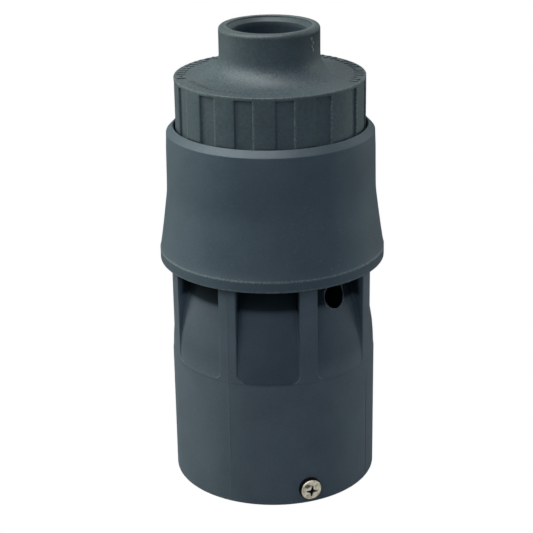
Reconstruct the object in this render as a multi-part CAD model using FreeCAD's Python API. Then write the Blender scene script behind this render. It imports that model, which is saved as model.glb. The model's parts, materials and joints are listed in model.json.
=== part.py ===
"""Motorised actuator head: a plastic housing round a push rod, lead screw, planetary gear and motor.

Millimetres, +Z up, origin at the centre of the collar's mouth (the bottom rim).  Each sub-part is
written to parts/NODE.step.  Azimuths are measured from -Y (the front) towards +X.
"""
import os

import FreeCAD
import Part

from math import acos, cos, pi, radians, sin, tan

# ---- driving dimensions: housing ------------------------------------------------------------
BASE_R = 35.5               # outside of the collar and of the ribs
COLLAR_BORE_R = 31.5        # the collar slips over a 63 mm neck
COLLAR_BORE_TOP = 32.0      # the neck stops on the shoulder here
TOTAL_H = 160.0
ROD_ROOM_R = 28.0           # hollow between the neck's stop and the floor
FLOOR_BOTTOM = 40.0
FLOOR_TOP = 44.0
CAVITY_R = 27.0
BODY_TOP = 118.0            # end of the threaded neck that the cap screws onto
BODY_NECK_R = 29.4
SHOULDER_R = 33.3           # the skirt's flange sits on this shoulder
SHOULDER_BOTTOM = 91.0
SHOULDER_TOP = 96.0
RIM_ROUND = 0.5             # small chamfer round the bottom rim
BOSS_UNDER = 37.0           # underside of the boss round the push rod
BOSS_WALL = 1.5             # least wall round the guide bush

RIB_COUNT = 8
RIB_PITCH = 360.0 / RIB_COUNT
RIB_AZIMUTH = 19.4          # the rib above the locking screw
RIB_WIDTH = 10.3            # degrees
RIB_TOP = 87.0              # the ribs end under the skirt
POCKET_BOTTOM = 46.0
POCKET_LIP_R = 35.25        # floor radius at the pocket's lower edge
POCKET_FLOOR = ((34.3, 58.0), (32.2, 68.5))     # the floor leans in, more and more
POCKET_BACK_R = 30.5
POCKET_BACK_Z = 74.0

VENT_R = 4.25
VENT_Z = 72.8
VENT_AZIMUTH = RIB_AZIMUTH + RIB_PITCH / 2     # middle of a pocket

# drip skirt
SKIRT_LIP_R = 38.65
SKIRT_BOTTOM = 80.0
SKIRT_BAND_TOP = 84.0
SKIRT_MID = (37.05, 93.3)      # a point halfway up the flare, which is slightly hollow
SKIRT_WAIST = (35.9, 101.9)    # the flare ends here
SKIRT_BEND = (35.68, 104.2)
SKIRT_WALL_FOOT = (35.58, 107.0)
SKIRT_TOP_R = 35.15
SKIRT_CHAMFER_Z = 124.6
SKIRT_TOP = 127.2
SKIRT_MOUTH_R = 32.7
SKIRT_LIP_WALL = 1.9
SKIRT_SEAT_FOOT = 92.5         # the inside starts to lean outwards here
FLANGE_TOP = 99.5
FIT_GAP = 0.05              # radial clearance where one moulding locates in another

# ribbed cap
CAP_R = 32.05
CAP_BOTTOM = 102.0
CAP_THREAD_R = 29.55        # crest radius of the cap's thread, clear of the body's neck
CAP_ROOM_R = 29.9
CAP_THREAD_TOP = 118.0
CAP_ROOM_BOTTOM = 119.0
CAP_ROOF = 138.4
LEDGE_Z = 143.4
LEDGE_ROUND = 0.8
PANEL_COUNT = 15
PANEL_WIDTH = 10.7          # degrees
PANEL_AZIMUTH = 8.3
PANEL_DEPTH = 0.85
PANEL_FOOT = 107.5          # out of sight in the skirt's mouth
PANEL_TOP = 142.2
NECK_R = 16.85
NECK_FILLET = 7.0
NECK_ROUND = 1.5
SOCKET_R = 12.5             # takes a 25 mm conduit
SOCKET_MOUTH_R = 14.05
SOCKET_TOP = 158.3
SOCKET_STOP = 139.6
STOP_R = 9.5
BOSS_R = 14.0
BOSS_BOTTOM = 134.6
GROMMET_BORE_R = 3.2
GROMMET_FLANGE_R = 11.9
GROMMET_FLANGE_H = 1.4
GROMMET_WEB_TOP = 135.6
GROMMET_LIP_R = 8.1
GROMMET_TOP = 139.2
GASKET_OUTER_R = 31.75
GASKET_INNER_R = 29.75

# locking screw, M4 pan head
LOCK_Z = 5.7
LOCK_AZIMUTH = RIB_AZIMUTH
LOCK_HEAD_R = 4.0
LOCK_HEAD_H = 2.2
LOCK_R = 1.95
LOCK_INSERT_R = 2.8
LOCK_INSERT_OUTER = 35.1    # its outer face is just below the surface
LOCK_TIP_CLEAR = 0.1        # the tip stays outside the collar's bore

# ---- driving dimensions: mechanism ----------------------------------------------------------
RUN_FIT = 0.03              # radial clearance of a running fit
POST_PITCH_R = 23.5
POST_R = 2.0
POST_AZIMUTHS = (-18.0, 102.0, 222.0)
STUD_R = 1.25               # M2.5 screws and studs
STUD_HEAD = (2.4, 1.8)      # radius and height
STUD_REACH = 5.0            # how far a stud or a screw goes into a post
STUD_HOLE = 6.0             # depth of the tapped hole
SMALL_SCREW_R = 1.0         # M2 screws
SMALL_HEAD = (1.9, 1.3)
PLATE_R = 26.6
PLATE_BOTTOM = 79.0
PLATE_TOP = PLATE_BOTTOM + 3.0

ROD_R = 5.0
ROD_BORE_R = 3.3
ROD_FLANGE_R = 9.5
ROD_FLANGE_H = 2.0
ROD_SPIGOT_R = 2.5          # carries the thrust button
ROD_SPIGOT_H = 2.0
ROD_BORE_FOOT = 42.0
ROD_HOLE_R = 5.3            # clearance hole through the boss
ROD_TIP = 36.0
ROD_TOP = 58.0
CROSSHEAD_TOP = 61.0
BUTTON_R = 6.5
BUTTON_BOTTOM = 33.0
BUTTON_ROUND = 1.0
CROSSHEAD_R = 13.0
CROSSHEAD_ARM_W = 7.0
CROSSHEAD_EAR_R = 3.3
CROSSHEAD_EAR_PROUD = 1.5
NUT_BARREL_R = 4.6
NUT_FLANGE_TOP = CROSSHEAD_TOP + 2.0
NUT_HUB_R = 5.2
NUT_TOP = CROSSHEAD_TOP + 7.0
NUT_SCREW_PITCH_R = 7.4
BUSH_R = 7.0
BUSH_FLANGE_TOP = FLOOR_TOP + 1.5
SEAL_BOTTOM = 37.8
SEAL_TOP = 39.8
SEAL_GROOVE_W = 0.6
SEAL_GROOVE_D = 1.0

SCREW_R = 3.0               # lead screw, drawn as its plain crest cylinder
SCREW_BUSH_R = 5.0
SCREW_FLANGE_R = 6.0
THRUST_WASHER_R = 7.0
SCREW_END = 48.0
SCREW_FLANGE_TOP = PLATE_BOTTOM - 1.0
SCREW_FLANGE_BOTTOM = SCREW_FLANGE_TOP - 1.6

MODULE = 0.6
PRESSURE_ANGLE = radians(25.0)
SUN_TEETH = 12
PLANET_TEETH = 18
RING_TEETH = SUN_TEETH + 2 * PLANET_TEETH
TOOTH_THINNING = 0.06       # backlash taken from each tooth's thickness
ADDENDUM = 1.0
DEDENDUM = 1.25
PLANET_COUNT = 3
PLANET_ORBIT_R = MODULE * (SUN_TEETH + PLANET_TEETH) / 2
PIN_R = 1.5
CARRIER_R = 12.9
CARRIER_HUB_R = 5.5
CARRIER_BOTTOM = PLATE_TOP + 1.2
CARRIER_TOP = CARRIER_BOTTOM + 3.0
PLANET_BOTTOM = CARRIER_TOP + 0.4
PLANET_TOP = PLANET_BOTTOM + 6.8
PIN_TOP = PLANET_TOP + 0.8
SUN_TOP = PLANET_TOP + 0.6
RING_R = 19.5
RING_TOP = PLATE_TOP + 13.0
GEARBOX_SCREW_PITCH_R = 17.6

MOTOR_PLATE_TOP = RING_TOP + 3.0
SHAFT_R = 1.5
SHAFT_BOTTOM = PLANET_BOTTOM - 0.1
BEARING_R = 4.0
BEARING_HOLE_R = 5.0        # hole in the can and rim of the end bell's bearing seat
CAN_R = 15.5
CAN_WALL = 0.8
CAN_TOP = MOTOR_PLATE_TOP + 22.0
END_BELL_TOP = CAN_TOP + 2.0
END_BELL_SPIGOT = 2.0       # reaches into the can
BEARING_SEAT_BOTTOM = CAN_TOP - 1.0
SHAFT_TOP = END_BELL_TOP - 0.6
MAGNET_R = 8.0
COIL_INNER_R = 8.6
COIL_BOTTOM = MOTOR_PLATE_TOP + 3.0
COIL_TOP = CAN_TOP - 3.4
MAGNET_INSET = 1.0          # the magnet is this much shorter at each end of the coil

BOARD_BOTTOM = END_BELL_TOP + 2.0
BOARD_TOP = BOARD_BOTTOM + 1.6
BOARD_R = 26.2
TERMINAL_SIZE = (20.0, 8.0, 7.0)
TERMINAL_Y = -14.0
TERMINAL_XS = (-7.5, -2.5, 2.5, 7.5)
TERMINAL_MOUTH = 3.0        # square wire mouths in the front
TERMINAL_MOUTH_FOOT = 0.8
TERMINAL_SCREW_R = 1.5
TERMINAL_SCREW_H = 3.0
TERMINAL_WELL = 4.0
TERMINAL_SLOT = (4.0, 0.6, 0.8)
CAPACITOR_R = 3.2
CAPACITOR_LENGTH = 16.0
CAPACITOR_Y = 12.0
LEAD_R = 0.7
LEAD_CLEARANCE = 0.1
LEAD_XS = (-3.0, 3.0)
LEAD_Y = 10.0

# pan heads, as shares of their own size
HEAD_RIM = 0.45             # height of the plain rim
HEAD_CROWN = (0.8, 0.88)    # a point on the crown: radius, height
RECESS_WIDTH = 0.42         # of the shank's radius
RECESS_LENGTH = 1.1         # of the head's radius
RECESS_DEPTH = 0.5          # of the head's height

CUT_PAST = 4.0              # how far a cutter reaches beyond the surface that it cuts
FLANK_STEPS = 5             # spans along each gear flank

Z_AXIS = FreeCAD.Vector(0, 0, 1)
ORIGIN = FreeCAD.Vector(0, 0, 0)


# ---- helpers --------------------------------------------------------------------------------
def point(radius, azimuth, z):
    """A point at an azimuth in degrees, measured from -Y towards +X."""
    angle = radians(azimuth)
    return FreeCAD.Vector(radius * sin(angle), -radius * cos(angle), z)


def rod(radius, bottom, top, centre=ORIGIN):
    """Vertical cylinder from one height to another."""
    return Part.makeCylinder(radius, top - bottom, FreeCAD.Vector(centre.x, centre.y, bottom))


def tube(outer, inner, bottom, top):
    """Ring or hollow cylinder about the main axis."""
    return rod(outer, bottom, top).cut(rod(inner, bottom, top))


def vec(radius, z):
    """A point of a turned profile."""
    return FreeCAD.Vector(radius, 0, z)


def turned(edges):
    """Solid of revolution about Z from a closed chain of edges in the XZ plane."""
    face = Part.Face(Part.Wire(Part.__sortEdges__(edges)))
    return face.revolve(ORIGIN, Z_AXIS, 360)


def path(*profile):
    """Straight edges through (radius, z) points."""
    points = [vec(radius, z) for radius, z in profile]
    return [Part.makeLine(a, b) for a, b in zip(points, points[1:])]


def chain(*profile):
    """Straight edges through (radius, z) points, closed."""
    return path(*profile, profile[0])


def arc(start, middle, end):
    """Arc through three (radius, z) points."""
    return Part.Arc(vec(*start), vec(*middle), vec(*end)).toShape()


def round_over(centre, radius, first, last):
    """Quarter arc round a (radius, z) centre between two angles in degrees."""
    angles = [radians(angle) for angle in (first, (first + last) / 2, last)]
    return arc(*[(centre[0] + radius * cos(angle), centre[1] + radius * sin(angle)) for angle in angles])


def radial_rod(radius, inner, outer, azimuth, z):
    """Cylinder whose axis points outwards at an azimuth."""
    start = point(inner, azimuth, z)
    return Part.makeCylinder(radius, outer - inner, start, point(1, azimuth, 0))


def wedge(width, azimuth, inner, outer, bottom, top):
    """Sector of a tube, its sides radial, centred on an azimuth."""
    a, b = azimuth - width / 2, azimuth + width / 2
    edges = [
        Part.makeLine(point(inner, a, bottom), point(outer, a, bottom)),
        Part.Arc(point(outer, a, bottom), point(outer, azimuth, bottom), point(outer, b, bottom)).toShape(),
        Part.makeLine(point(outer, b, bottom), point(inner, b, bottom)),
        Part.Arc(point(inner, b, bottom), point(inner, azimuth, bottom), point(inner, a, bottom)).toShape(),
    ]
    return Part.Face(Part.Wire(edges)).extrude(FreeCAD.Vector(0, 0, top - bottom))


def posts(radius, bottom, top, pitch_r=POST_PITCH_R):
    """Three upright cylinders on the fixing circle."""
    return [rod(radius, bottom, top, point(pitch_r, azimuth, 0)) for azimuth in POST_AZIMUTHS]


def group(shapes):
    """Several alike solids that make one part."""
    return Part.makeCompound(shapes)


def pan_screw(shank_r, head, tip, seat):
    """Machine screw about Z with a rounded pan head on the far side of the seat from the tip."""
    head_r, head_h = head
    sign = 1 if seat > tip else -1
    crown = seat + sign * head_h
    shoulder = seat + sign * head_h * HEAD_RIM
    bend = (head_r * HEAD_CROWN[0], seat + sign * head_h * HEAD_CROWN[1])
    side = path((0, crown), (0, tip), (shank_r, tip), (shank_r, seat), (head_r, seat), (head_r, shoulder))
    screw = turned(side + [arc((head_r, shoulder), bend, (0, crown))])
    length, width, depth = head_r * RECESS_LENGTH, shank_r * RECESS_WIDTH, head_h * RECESS_DEPTH
    low = crown - depth if sign > 0 else crown - CUT_PAST
    for size_x, size_y in ((length, width), (width, length)):
        corner = FreeCAD.Vector(-size_x / 2, -size_y / 2, low)
        screw = screw.cut(Part.makeBox(size_x, size_y, depth + CUT_PAST, corner))
    return screw


def screw_set(shank_r, head, tip, seat, pitch_r=POST_PITCH_R):
    """Three screws on the fixing circle."""
    screws = []
    for azimuth in POST_AZIMUTHS:
        screw = pan_screw(shank_r, head, tip, seat)
        screw.translate(point(pitch_r, azimuth, 0))
        screws.append(screw)
    return group(screws)


# ---- housing --------------------------------------------------------------------------------
def pocket_cutter(azimuth):
    """Space between two ribs: its floor leans inwards as it rises under the skirt."""
    beyond = BASE_R + CUT_PAST
    section = turned(chain(
        (POCKET_LIP_R, POCKET_BOTTOM), *POCKET_FLOOR, (POCKET_BACK_R, POCKET_BACK_Z),
        (POCKET_BACK_R, SHOULDER_BOTTOM), (beyond, SHOULDER_BOTTOM), (beyond, POCKET_BOTTOM)))
    width = RIB_PITCH - RIB_WIDTH
    return section.common(wedge(width, azimuth, CAVITY_R, beyond, POCKET_BOTTOM, SHOULDER_BOTTOM))


def make_lower_body():
    outside = turned(chain(
        (0, 0), (BASE_R - RIM_ROUND, 0), (BASE_R, RIM_ROUND), (BASE_R, RIB_TOP),
        (SHOULDER_R, SHOULDER_BOTTOM), (SHOULDER_R, SHOULDER_TOP), (BODY_NECK_R, SHOULDER_TOP),
        (BODY_NECK_R, BODY_TOP), (0, BODY_TOP)))
    boss = FLOOR_BOTTOM - BOSS_UNDER
    inside = turned(chain(
        (0, 0), (COLLAR_BORE_R, 0), (COLLAR_BORE_R, COLLAR_BORE_TOP), (ROD_ROOM_R, COLLAR_BORE_TOP),
        (ROD_ROOM_R, FLOOR_BOTTOM), (BUSH_R + BOSS_WALL + boss, FLOOR_BOTTOM),
        (BUSH_R + BOSS_WALL, BOSS_UNDER), (0, BOSS_UNDER)))
    cavity = rod(CAVITY_R, FLOOR_TOP, BODY_TOP)
    body = outside.cut(inside).cut(cavity)
    body = body.cut(rod(ROD_HOLE_R, BOSS_UNDER, FLOOR_TOP)).cut(rod(BUSH_R, SEAL_BOTTOM, FLOOR_TOP))
    for number in range(RIB_COUNT):
        body = body.cut(pocket_cutter(VENT_AZIMUTH + number * RIB_PITCH))
    beyond = BASE_R + CUT_PAST
    body = body.cut(radial_rod(VENT_R, CAVITY_R - CUT_PAST, beyond, VENT_AZIMUTH, VENT_Z))
    body = body.cut(radial_rod(LOCK_INSERT_R, COLLAR_BORE_R - CUT_PAST, beyond, LOCK_AZIMUTH, LOCK_Z))
    return body.cut(group(posts(STUD_R, FLOOR_BOTTOM, FLOOR_TOP)))


def make_drip_skirt():
    """Flared shell, hollow below, with a flange that clips over the body's shoulder."""
    lip_inner = SKIRT_LIP_R - SKIRT_LIP_WALL
    bore, seat = BODY_NECK_R + FIT_GAP, SHOULDER_R + FIT_GAP
    profile = path((lip_inner, SKIRT_BOTTOM), (SKIRT_LIP_R, SKIRT_BOTTOM), (SKIRT_LIP_R, SKIRT_BAND_TOP))
    profile.append(arc((SKIRT_LIP_R, SKIRT_BAND_TOP), SKIRT_MID, SKIRT_WAIST))
    profile.append(arc(SKIRT_WAIST, SKIRT_BEND, SKIRT_WALL_FOOT))
    profile += path(
        SKIRT_WALL_FOOT, (SKIRT_TOP_R, SKIRT_CHAMFER_Z), (SKIRT_MOUTH_R, SKIRT_TOP),
        (SKIRT_MOUTH_R, FLANGE_TOP), (bore, FLANGE_TOP), (bore, SHOULDER_TOP),
        (seat, SHOULDER_TOP), (seat, SKIRT_SEAT_FOOT),
        (lip_inner, SKIRT_BAND_TOP), (lip_inner, SKIRT_BOTTOM))
    return turned(profile)


def make_ribbed_cap():
    """Screw cap with grip panels, the ledge, the neck and its stepped conduit socket."""
    ledge_edge, rim_edge, neck_foot = CAP_R - LEDGE_ROUND, NECK_R - NECK_ROUND, NECK_R + NECK_FILLET
    profile = path((CAP_THREAD_R, CAP_BOTTOM), (CAP_R, CAP_BOTTOM), (CAP_R, LEDGE_Z - LEDGE_ROUND))
    profile.append(round_over((ledge_edge, LEDGE_Z - LEDGE_ROUND), LEDGE_ROUND, 0, 90))
    profile += path((ledge_edge, LEDGE_Z), (neck_foot, LEDGE_Z))
    profile.append(round_over((neck_foot, LEDGE_Z + NECK_FILLET), NECK_FILLET, 270, 180))
    profile += path((NECK_R, LEDGE_Z + NECK_FILLET), (NECK_R, TOTAL_H - NECK_ROUND))
    profile.append(round_over((rim_edge, TOTAL_H - NECK_ROUND), NECK_ROUND, 0, 90))
    profile += path(
        (rim_edge, TOTAL_H), (SOCKET_MOUTH_R, TOTAL_H), (SOCKET_R, SOCKET_TOP), (SOCKET_R, SOCKET_STOP),
        (STOP_R, SOCKET_STOP), (STOP_R, BOSS_BOTTOM), (BOSS_R, BOSS_BOTTOM), (BOSS_R, CAP_ROOF),
        (CAP_ROOM_R, CAP_ROOF), (CAP_ROOM_R, CAP_ROOM_BOTTOM), (CAP_THREAD_R, CAP_THREAD_TOP),
        (CAP_THREAD_R, CAP_BOTTOM))
    panels = [
        wedge(PANEL_WIDTH, PANEL_AZIMUTH + number * 360 / PANEL_COUNT,
              CAP_R - PANEL_DEPTH, CAP_R + CUT_PAST, PANEL_FOOT, PANEL_TOP)
        for number in range(PANEL_COUNT)
    ]
    return turned(profile).cut(group(panels))


def make_cap_gasket():
    return tube(GASKET_OUTER_R, GASKET_INNER_R, FLANGE_TOP, CAP_BOTTOM)


def make_cable_grommet():
    """Rubber grommet: a flange under the stop ring and a collar up its hole."""
    foot = BOSS_BOTTOM - GROMMET_FLANGE_H
    return turned(chain(
        (GROMMET_BORE_R, foot), (GROMMET_FLANGE_R, foot), (GROMMET_FLANGE_R, BOSS_BOTTOM),
        (STOP_R, BOSS_BOTTOM), (STOP_R, GROMMET_TOP), (GROMMET_LIP_R, GROMMET_TOP),
        (GROMMET_LIP_R, GROMMET_WEB_TOP), (GROMMET_BORE_R, GROMMET_WEB_TOP)))


def make_locking_screw():
    """M4 pan-head screw, its axis pointing outwards through the collar's wall."""
    tip = COLLAR_BORE_R + LOCK_TIP_CLEAR
    screw = pan_screw(LOCK_R, (LOCK_HEAD_R, LOCK_HEAD_H), tip, BASE_R)
    screw.rotate(ORIGIN, FreeCAD.Vector(1, 0, 0), 90)
    screw.rotate(ORIGIN, Z_AXIS, LOCK_AZIMUTH)
    screw.translate(FreeCAD.Vector(0, 0, LOCK_Z))
    return screw


def make_screw_insert():
    inner = COLLAR_BORE_R + LOCK_TIP_CLEAR
    body = radial_rod(LOCK_INSERT_R, inner, LOCK_INSERT_OUTER, LOCK_AZIMUTH, LOCK_Z)
    return body.cut(radial_rod(LOCK_R, inner - CUT_PAST, BASE_R, LOCK_AZIMUTH, LOCK_Z))


# ---- push rod group -------------------------------------------------------------------------
def make_guide_bush():
    sleeve = rod(BUSH_R, SEAL_TOP, FLOOR_TOP).fuse(rod(ROD_FLANGE_R, FLOOR_TOP, BUSH_FLANGE_TOP))
    return sleeve.cut(rod(ROD_R + RUN_FIT, SEAL_TOP, BUSH_FLANGE_TOP)).removeSplitter()


def make_rod_seal():
    """Lip seal: a ring with a groove in its pressure side."""
    middle = (ROD_R + BUSH_R) / 2
    ring = tube(BUSH_R, ROD_R + RUN_FIT, SEAL_BOTTOM, SEAL_TOP)
    outer, inner = middle + SEAL_GROOVE_W / 2, middle - SEAL_GROOVE_W / 2
    return ring.cut(tube(outer, inner, SEAL_BOTTOM, SEAL_BOTTOM + SEAL_GROOVE_D))


def make_push_rod():
    flange_foot = ROD_TOP - ROD_FLANGE_H
    shaft = rod(ROD_R, ROD_TIP, ROD_TOP).fuse(rod(ROD_FLANGE_R, flange_foot, ROD_TOP))
    shaft = shaft.fuse(rod(ROD_SPIGOT_R, ROD_TIP - ROD_SPIGOT_H, ROD_TIP))
    shaft = shaft.cut(rod(ROD_BORE_R, ROD_BORE_FOOT, ROD_TOP))
    holes = posts(SMALL_SCREW_R, flange_foot, ROD_TOP, NUT_SCREW_PITCH_R)
    return shaft.cut(group(holes)).removeSplitter()


def make_thrust_button():
    button = rod(BUTTON_R, BUTTON_BOTTOM, ROD_TIP)
    rim = [edge for edge in button.Edges if edge.BoundBox.ZMax < ROD_TIP - BUTTON_ROUND]
    return button.makeFillet(BUTTON_ROUND, rim).cut(rod(ROD_SPIGOT_R, ROD_TIP - ROD_SPIGOT_H, ROD_TIP))


def make_crosshead():
    """Disc with three ears that slide on the guide posts."""
    plate = rod(CROSSHEAD_R, ROD_TOP, CROSSHEAD_TOP)
    ear_foot, ear_top = ROD_TOP - CROSSHEAD_EAR_PROUD, CROSSHEAD_TOP + CROSSHEAD_EAR_PROUD
    for azimuth in POST_AZIMUTHS:
        corner = FreeCAD.Vector(-CROSSHEAD_ARM_W / 2, 0, ROD_TOP)
        arm = Part.makeBox(CROSSHEAD_ARM_W, POST_PITCH_R, CROSSHEAD_TOP - ROD_TOP, corner)
        arm.rotate(ORIGIN, Z_AXIS, azimuth + 180)
        plate = plate.fuse(arm)
    plate = plate.fuse(posts(CROSSHEAD_EAR_R, ear_foot, ear_top))
    plate = plate.cut(group(posts(POST_R + RUN_FIT, ear_foot, ear_top)))
    plate = plate.cut(group(posts(SMALL_SCREW_R, ROD_TOP, CROSSHEAD_TOP, NUT_SCREW_PITCH_R)))
    return plate.cut(rod(NUT_BARREL_R, ROD_TOP, CROSSHEAD_TOP)).removeSplitter()


def make_drive_nut():
    barrel = rod(NUT_BARREL_R, ROD_TOP, CROSSHEAD_TOP)
    flange = rod(ROD_FLANGE_R, CROSSHEAD_TOP, NUT_FLANGE_TOP)
    hub = rod(NUT_HUB_R, NUT_FLANGE_TOP, NUT_TOP)
    nut = barrel.fuse(flange).fuse(hub).cut(rod(SCREW_R + RUN_FIT, ROD_TOP, NUT_TOP))
    holes = posts(SMALL_SCREW_R, CROSSHEAD_TOP, NUT_FLANGE_TOP, NUT_SCREW_PITCH_R)
    return nut.cut(group(holes)).removeSplitter()


def make_nut_screws():
    return screw_set(SMALL_SCREW_R, SMALL_HEAD, ROD_TOP - ROD_FLANGE_H, NUT_FLANGE_TOP, NUT_SCREW_PITCH_R)


# ---- chassis --------------------------------------------------------------------------------
def make_guide_posts():
    holes = posts(STUD_R, FLOOR_TOP, FLOOR_TOP + STUD_HOLE)
    holes += posts(STUD_R, PLATE_BOTTOM - STUD_HOLE, PLATE_BOTTOM)
    return group([body.cut(group(holes)) for body in posts(POST_R, FLOOR_TOP, PLATE_BOTTOM)])


def make_base_screws():
    """Their heads are below the body's floor, in the rod's room."""
    return screw_set(STUD_R, STUD_HEAD, FLOOR_TOP + STUD_REACH, FLOOR_BOTTOM)


def make_gearbox_plate():
    plate = rod(PLATE_R, PLATE_BOTTOM, PLATE_TOP).cut(rod(SCREW_BUSH_R, PLATE_BOTTOM, PLATE_TOP))
    plate = plate.cut(group(posts(STUD_R, PLATE_BOTTOM, PLATE_TOP)))
    return plate.cut(group(posts(SMALL_SCREW_R, PLATE_BOTTOM, PLATE_TOP, GEARBOX_SCREW_PITCH_R)))


def make_screw_bush():
    return tube(SCREW_BUSH_R, SCREW_R + RUN_FIT, PLATE_BOTTOM, PLATE_TOP)


def make_thrust_washer():
    return tube(THRUST_WASHER_R, SCREW_R + RUN_FIT, SCREW_FLANGE_TOP, PLATE_BOTTOM)


def make_spacer_posts():
    """Posts with a stud at the foot, through the gearbox plate into the guide posts."""
    studs = posts(STUD_R, PLATE_BOTTOM - STUD_REACH, PLATE_TOP)
    holes = posts(STUD_R, BOARD_BOTTOM - STUD_HOLE, BOARD_BOTTOM)
    bodies = posts(POST_R, PLATE_TOP, BOARD_BOTTOM)
    return group([
        body.fuse(stud).cut(hole).removeSplitter() for body, stud, hole in zip(bodies, studs, holes)
    ])


# ---- gears ----------------------------------------------------------------------------------
def involute(angle):
    return tan(angle) - angle


def gear_blank(teeth, tip_r, root_r, thickness, bottom, top, tooth_at_zero=True):
    """Spur gear with involute flanks; thickness is each tooth's arc on the pitch circle."""
    pitch_r = MODULE * teeth / 2
    base_r = pitch_r * cos(PRESSURE_ANGLE)
    start_r = max(base_r, root_r)

    def half_angle(radius):
        roll = acos(min(1, base_r / radius))
        return thickness / (2 * pitch_r) + involute(PRESSURE_ANGLE) - involute(roll)

    def at(radius, angle):
        return FreeCAD.Vector(radius * cos(angle), radius * sin(angle), bottom)

    def flank(centre, side):
        radii = [start_r + (tip_r - start_r) * step / FLANK_STEPS for step in range(FLANK_STEPS + 1)]
        curve = Part.BSplineCurve()
        curve.interpolate([at(radius, centre + side * half_angle(radius)) for radius in radii])
        return curve.toShape()

    def ring_arc(radius, first, last):
        return Part.Arc(at(radius, first), at(radius, (first + last) / 2), at(radius, last)).toShape()

    step = 2 * pi / teeth
    offset = 0 if tooth_at_zero else step / 2
    edges = []
    for number in range(teeth):
        centre = offset + number * step
        foot, tip = half_angle(start_r), half_angle(tip_r)
        edges += [flank(centre, -1), ring_arc(tip_r, centre - tip, centre + tip), flank(centre, 1)]
        if root_r < start_r:
            edges.append(Part.makeLine(at(start_r, centre + foot), at(root_r, centre + foot)))
            edges.append(Part.makeLine(at(root_r, centre - foot), at(start_r, centre - foot)))
        edges.append(ring_arc(root_r, centre + foot, centre + step - foot))
    outline = Part.Wire(Part.__sortEdges__(edges))
    return Part.Face(outline).extrude(FreeCAD.Vector(0, 0, top - bottom))


def external_gear(teeth, bottom, top, tooth_at_zero):
    pitch_r = MODULE * teeth / 2
    thickness = pi * MODULE / 2 - TOOTH_THINNING
    return gear_blank(teeth, pitch_r + ADDENDUM * MODULE, pitch_r - DEDENDUM * MODULE,
                      thickness, bottom, top, tooth_at_zero)


def make_sun_gear():
    gear = external_gear(SUN_TEETH, PLANET_BOTTOM, SUN_TOP, True)
    return gear.cut(rod(SHAFT_R, PLANET_BOTTOM, SUN_TOP))


def make_planet_gear(number):
    gear = external_gear(PLANET_TEETH, PLANET_BOTTOM, PLANET_TOP, False)
    gear = gear.cut(rod(PIN_R + RUN_FIT, PLANET_BOTTOM, PLANET_TOP))
    gear.translate(FreeCAD.Vector(PLANET_ORBIT_R, 0, 0))
    gear.rotate(ORIGIN, Z_AXIS, number * 360 / PLANET_COUNT)
    return gear


def planet_centres():
    angles = [radians(number * 360 / PLANET_COUNT) for number in range(PLANET_COUNT)]
    return [FreeCAD.Vector(PLANET_ORBIT_R * cos(angle), PLANET_ORBIT_R * sin(angle), 0) for angle in angles]


def make_ring_gear():
    pitch_r = MODULE * RING_TEETH / 2
    space = pi * MODULE / 2 + TOOTH_THINNING
    cutter = gear_blank(RING_TEETH, pitch_r + DEDENDUM * MODULE, pitch_r - ADDENDUM * MODULE,
                        space, PLATE_TOP, RING_TOP, False)
    ring = rod(RING_R, PLATE_TOP, RING_TOP).cut(cutter)
    return ring.cut(group(posts(SMALL_SCREW_R, PLATE_TOP, RING_TOP, GEARBOX_SCREW_PITCH_R)))


def make_planet_carrier():
    plate = rod(CARRIER_R, CARRIER_BOTTOM, CARRIER_TOP).fuse(rod(CARRIER_HUB_R, PLATE_TOP, CARRIER_BOTTOM))
    plate = plate.cut(rod(SCREW_R, PLATE_TOP, CARRIER_TOP))
    for centre in planet_centres():
        plate = plate.cut(rod(PIN_R, CARRIER_BOTTOM, CARRIER_TOP, centre))
    return plate.removeSplitter()


def make_planet_pins():
    return group([rod(PIN_R, CARRIER_BOTTOM, PIN_TOP, centre) for centre in planet_centres()])


def make_lead_screw():
    shaft = rod(SCREW_R, SCREW_END, CARRIER_TOP)
    return shaft.fuse(rod(SCREW_FLANGE_R, SCREW_FLANGE_BOTTOM, SCREW_FLANGE_TOP)).removeSplitter()


def make_motor_plate():
    plate = rod(RING_R, RING_TOP, MOTOR_PLATE_TOP).cut(rod(BEARING_R, RING_TOP, MOTOR_PLATE_TOP))
    return plate.cut(group(posts(SMALL_SCREW_R, RING_TOP, MOTOR_PLATE_TOP, GEARBOX_SCREW_PITCH_R)))


def make_gearbox_screws():
    return screw_set(SMALL_SCREW_R, SMALL_HEAD, PLATE_BOTTOM, MOTOR_PLATE_TOP, GEARBOX_SCREW_PITCH_R)


# ---- motor ----------------------------------------------------------------------------------
def make_front_bearing():
    return tube(BEARING_R, SHAFT_R + RUN_FIT, RING_TOP, MOTOR_PLATE_TOP)


def make_rear_bearing():
    return tube(BEARING_R, SHAFT_R + RUN_FIT, BEARING_SEAT_BOTTOM, END_BELL_TOP)


def make_motor_can():
    """Deep-drawn can with its closed end on the motor plate."""
    wall = tube(CAN_R, CAN_R - CAN_WALL, MOTOR_PLATE_TOP, CAN_TOP)
    end = tube(CAN_R, BEARING_HOLE_R, MOTOR_PLATE_TOP, MOTOR_PLATE_TOP + CAN_WALL)
    return wall.fuse(end).removeSplitter()


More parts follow.
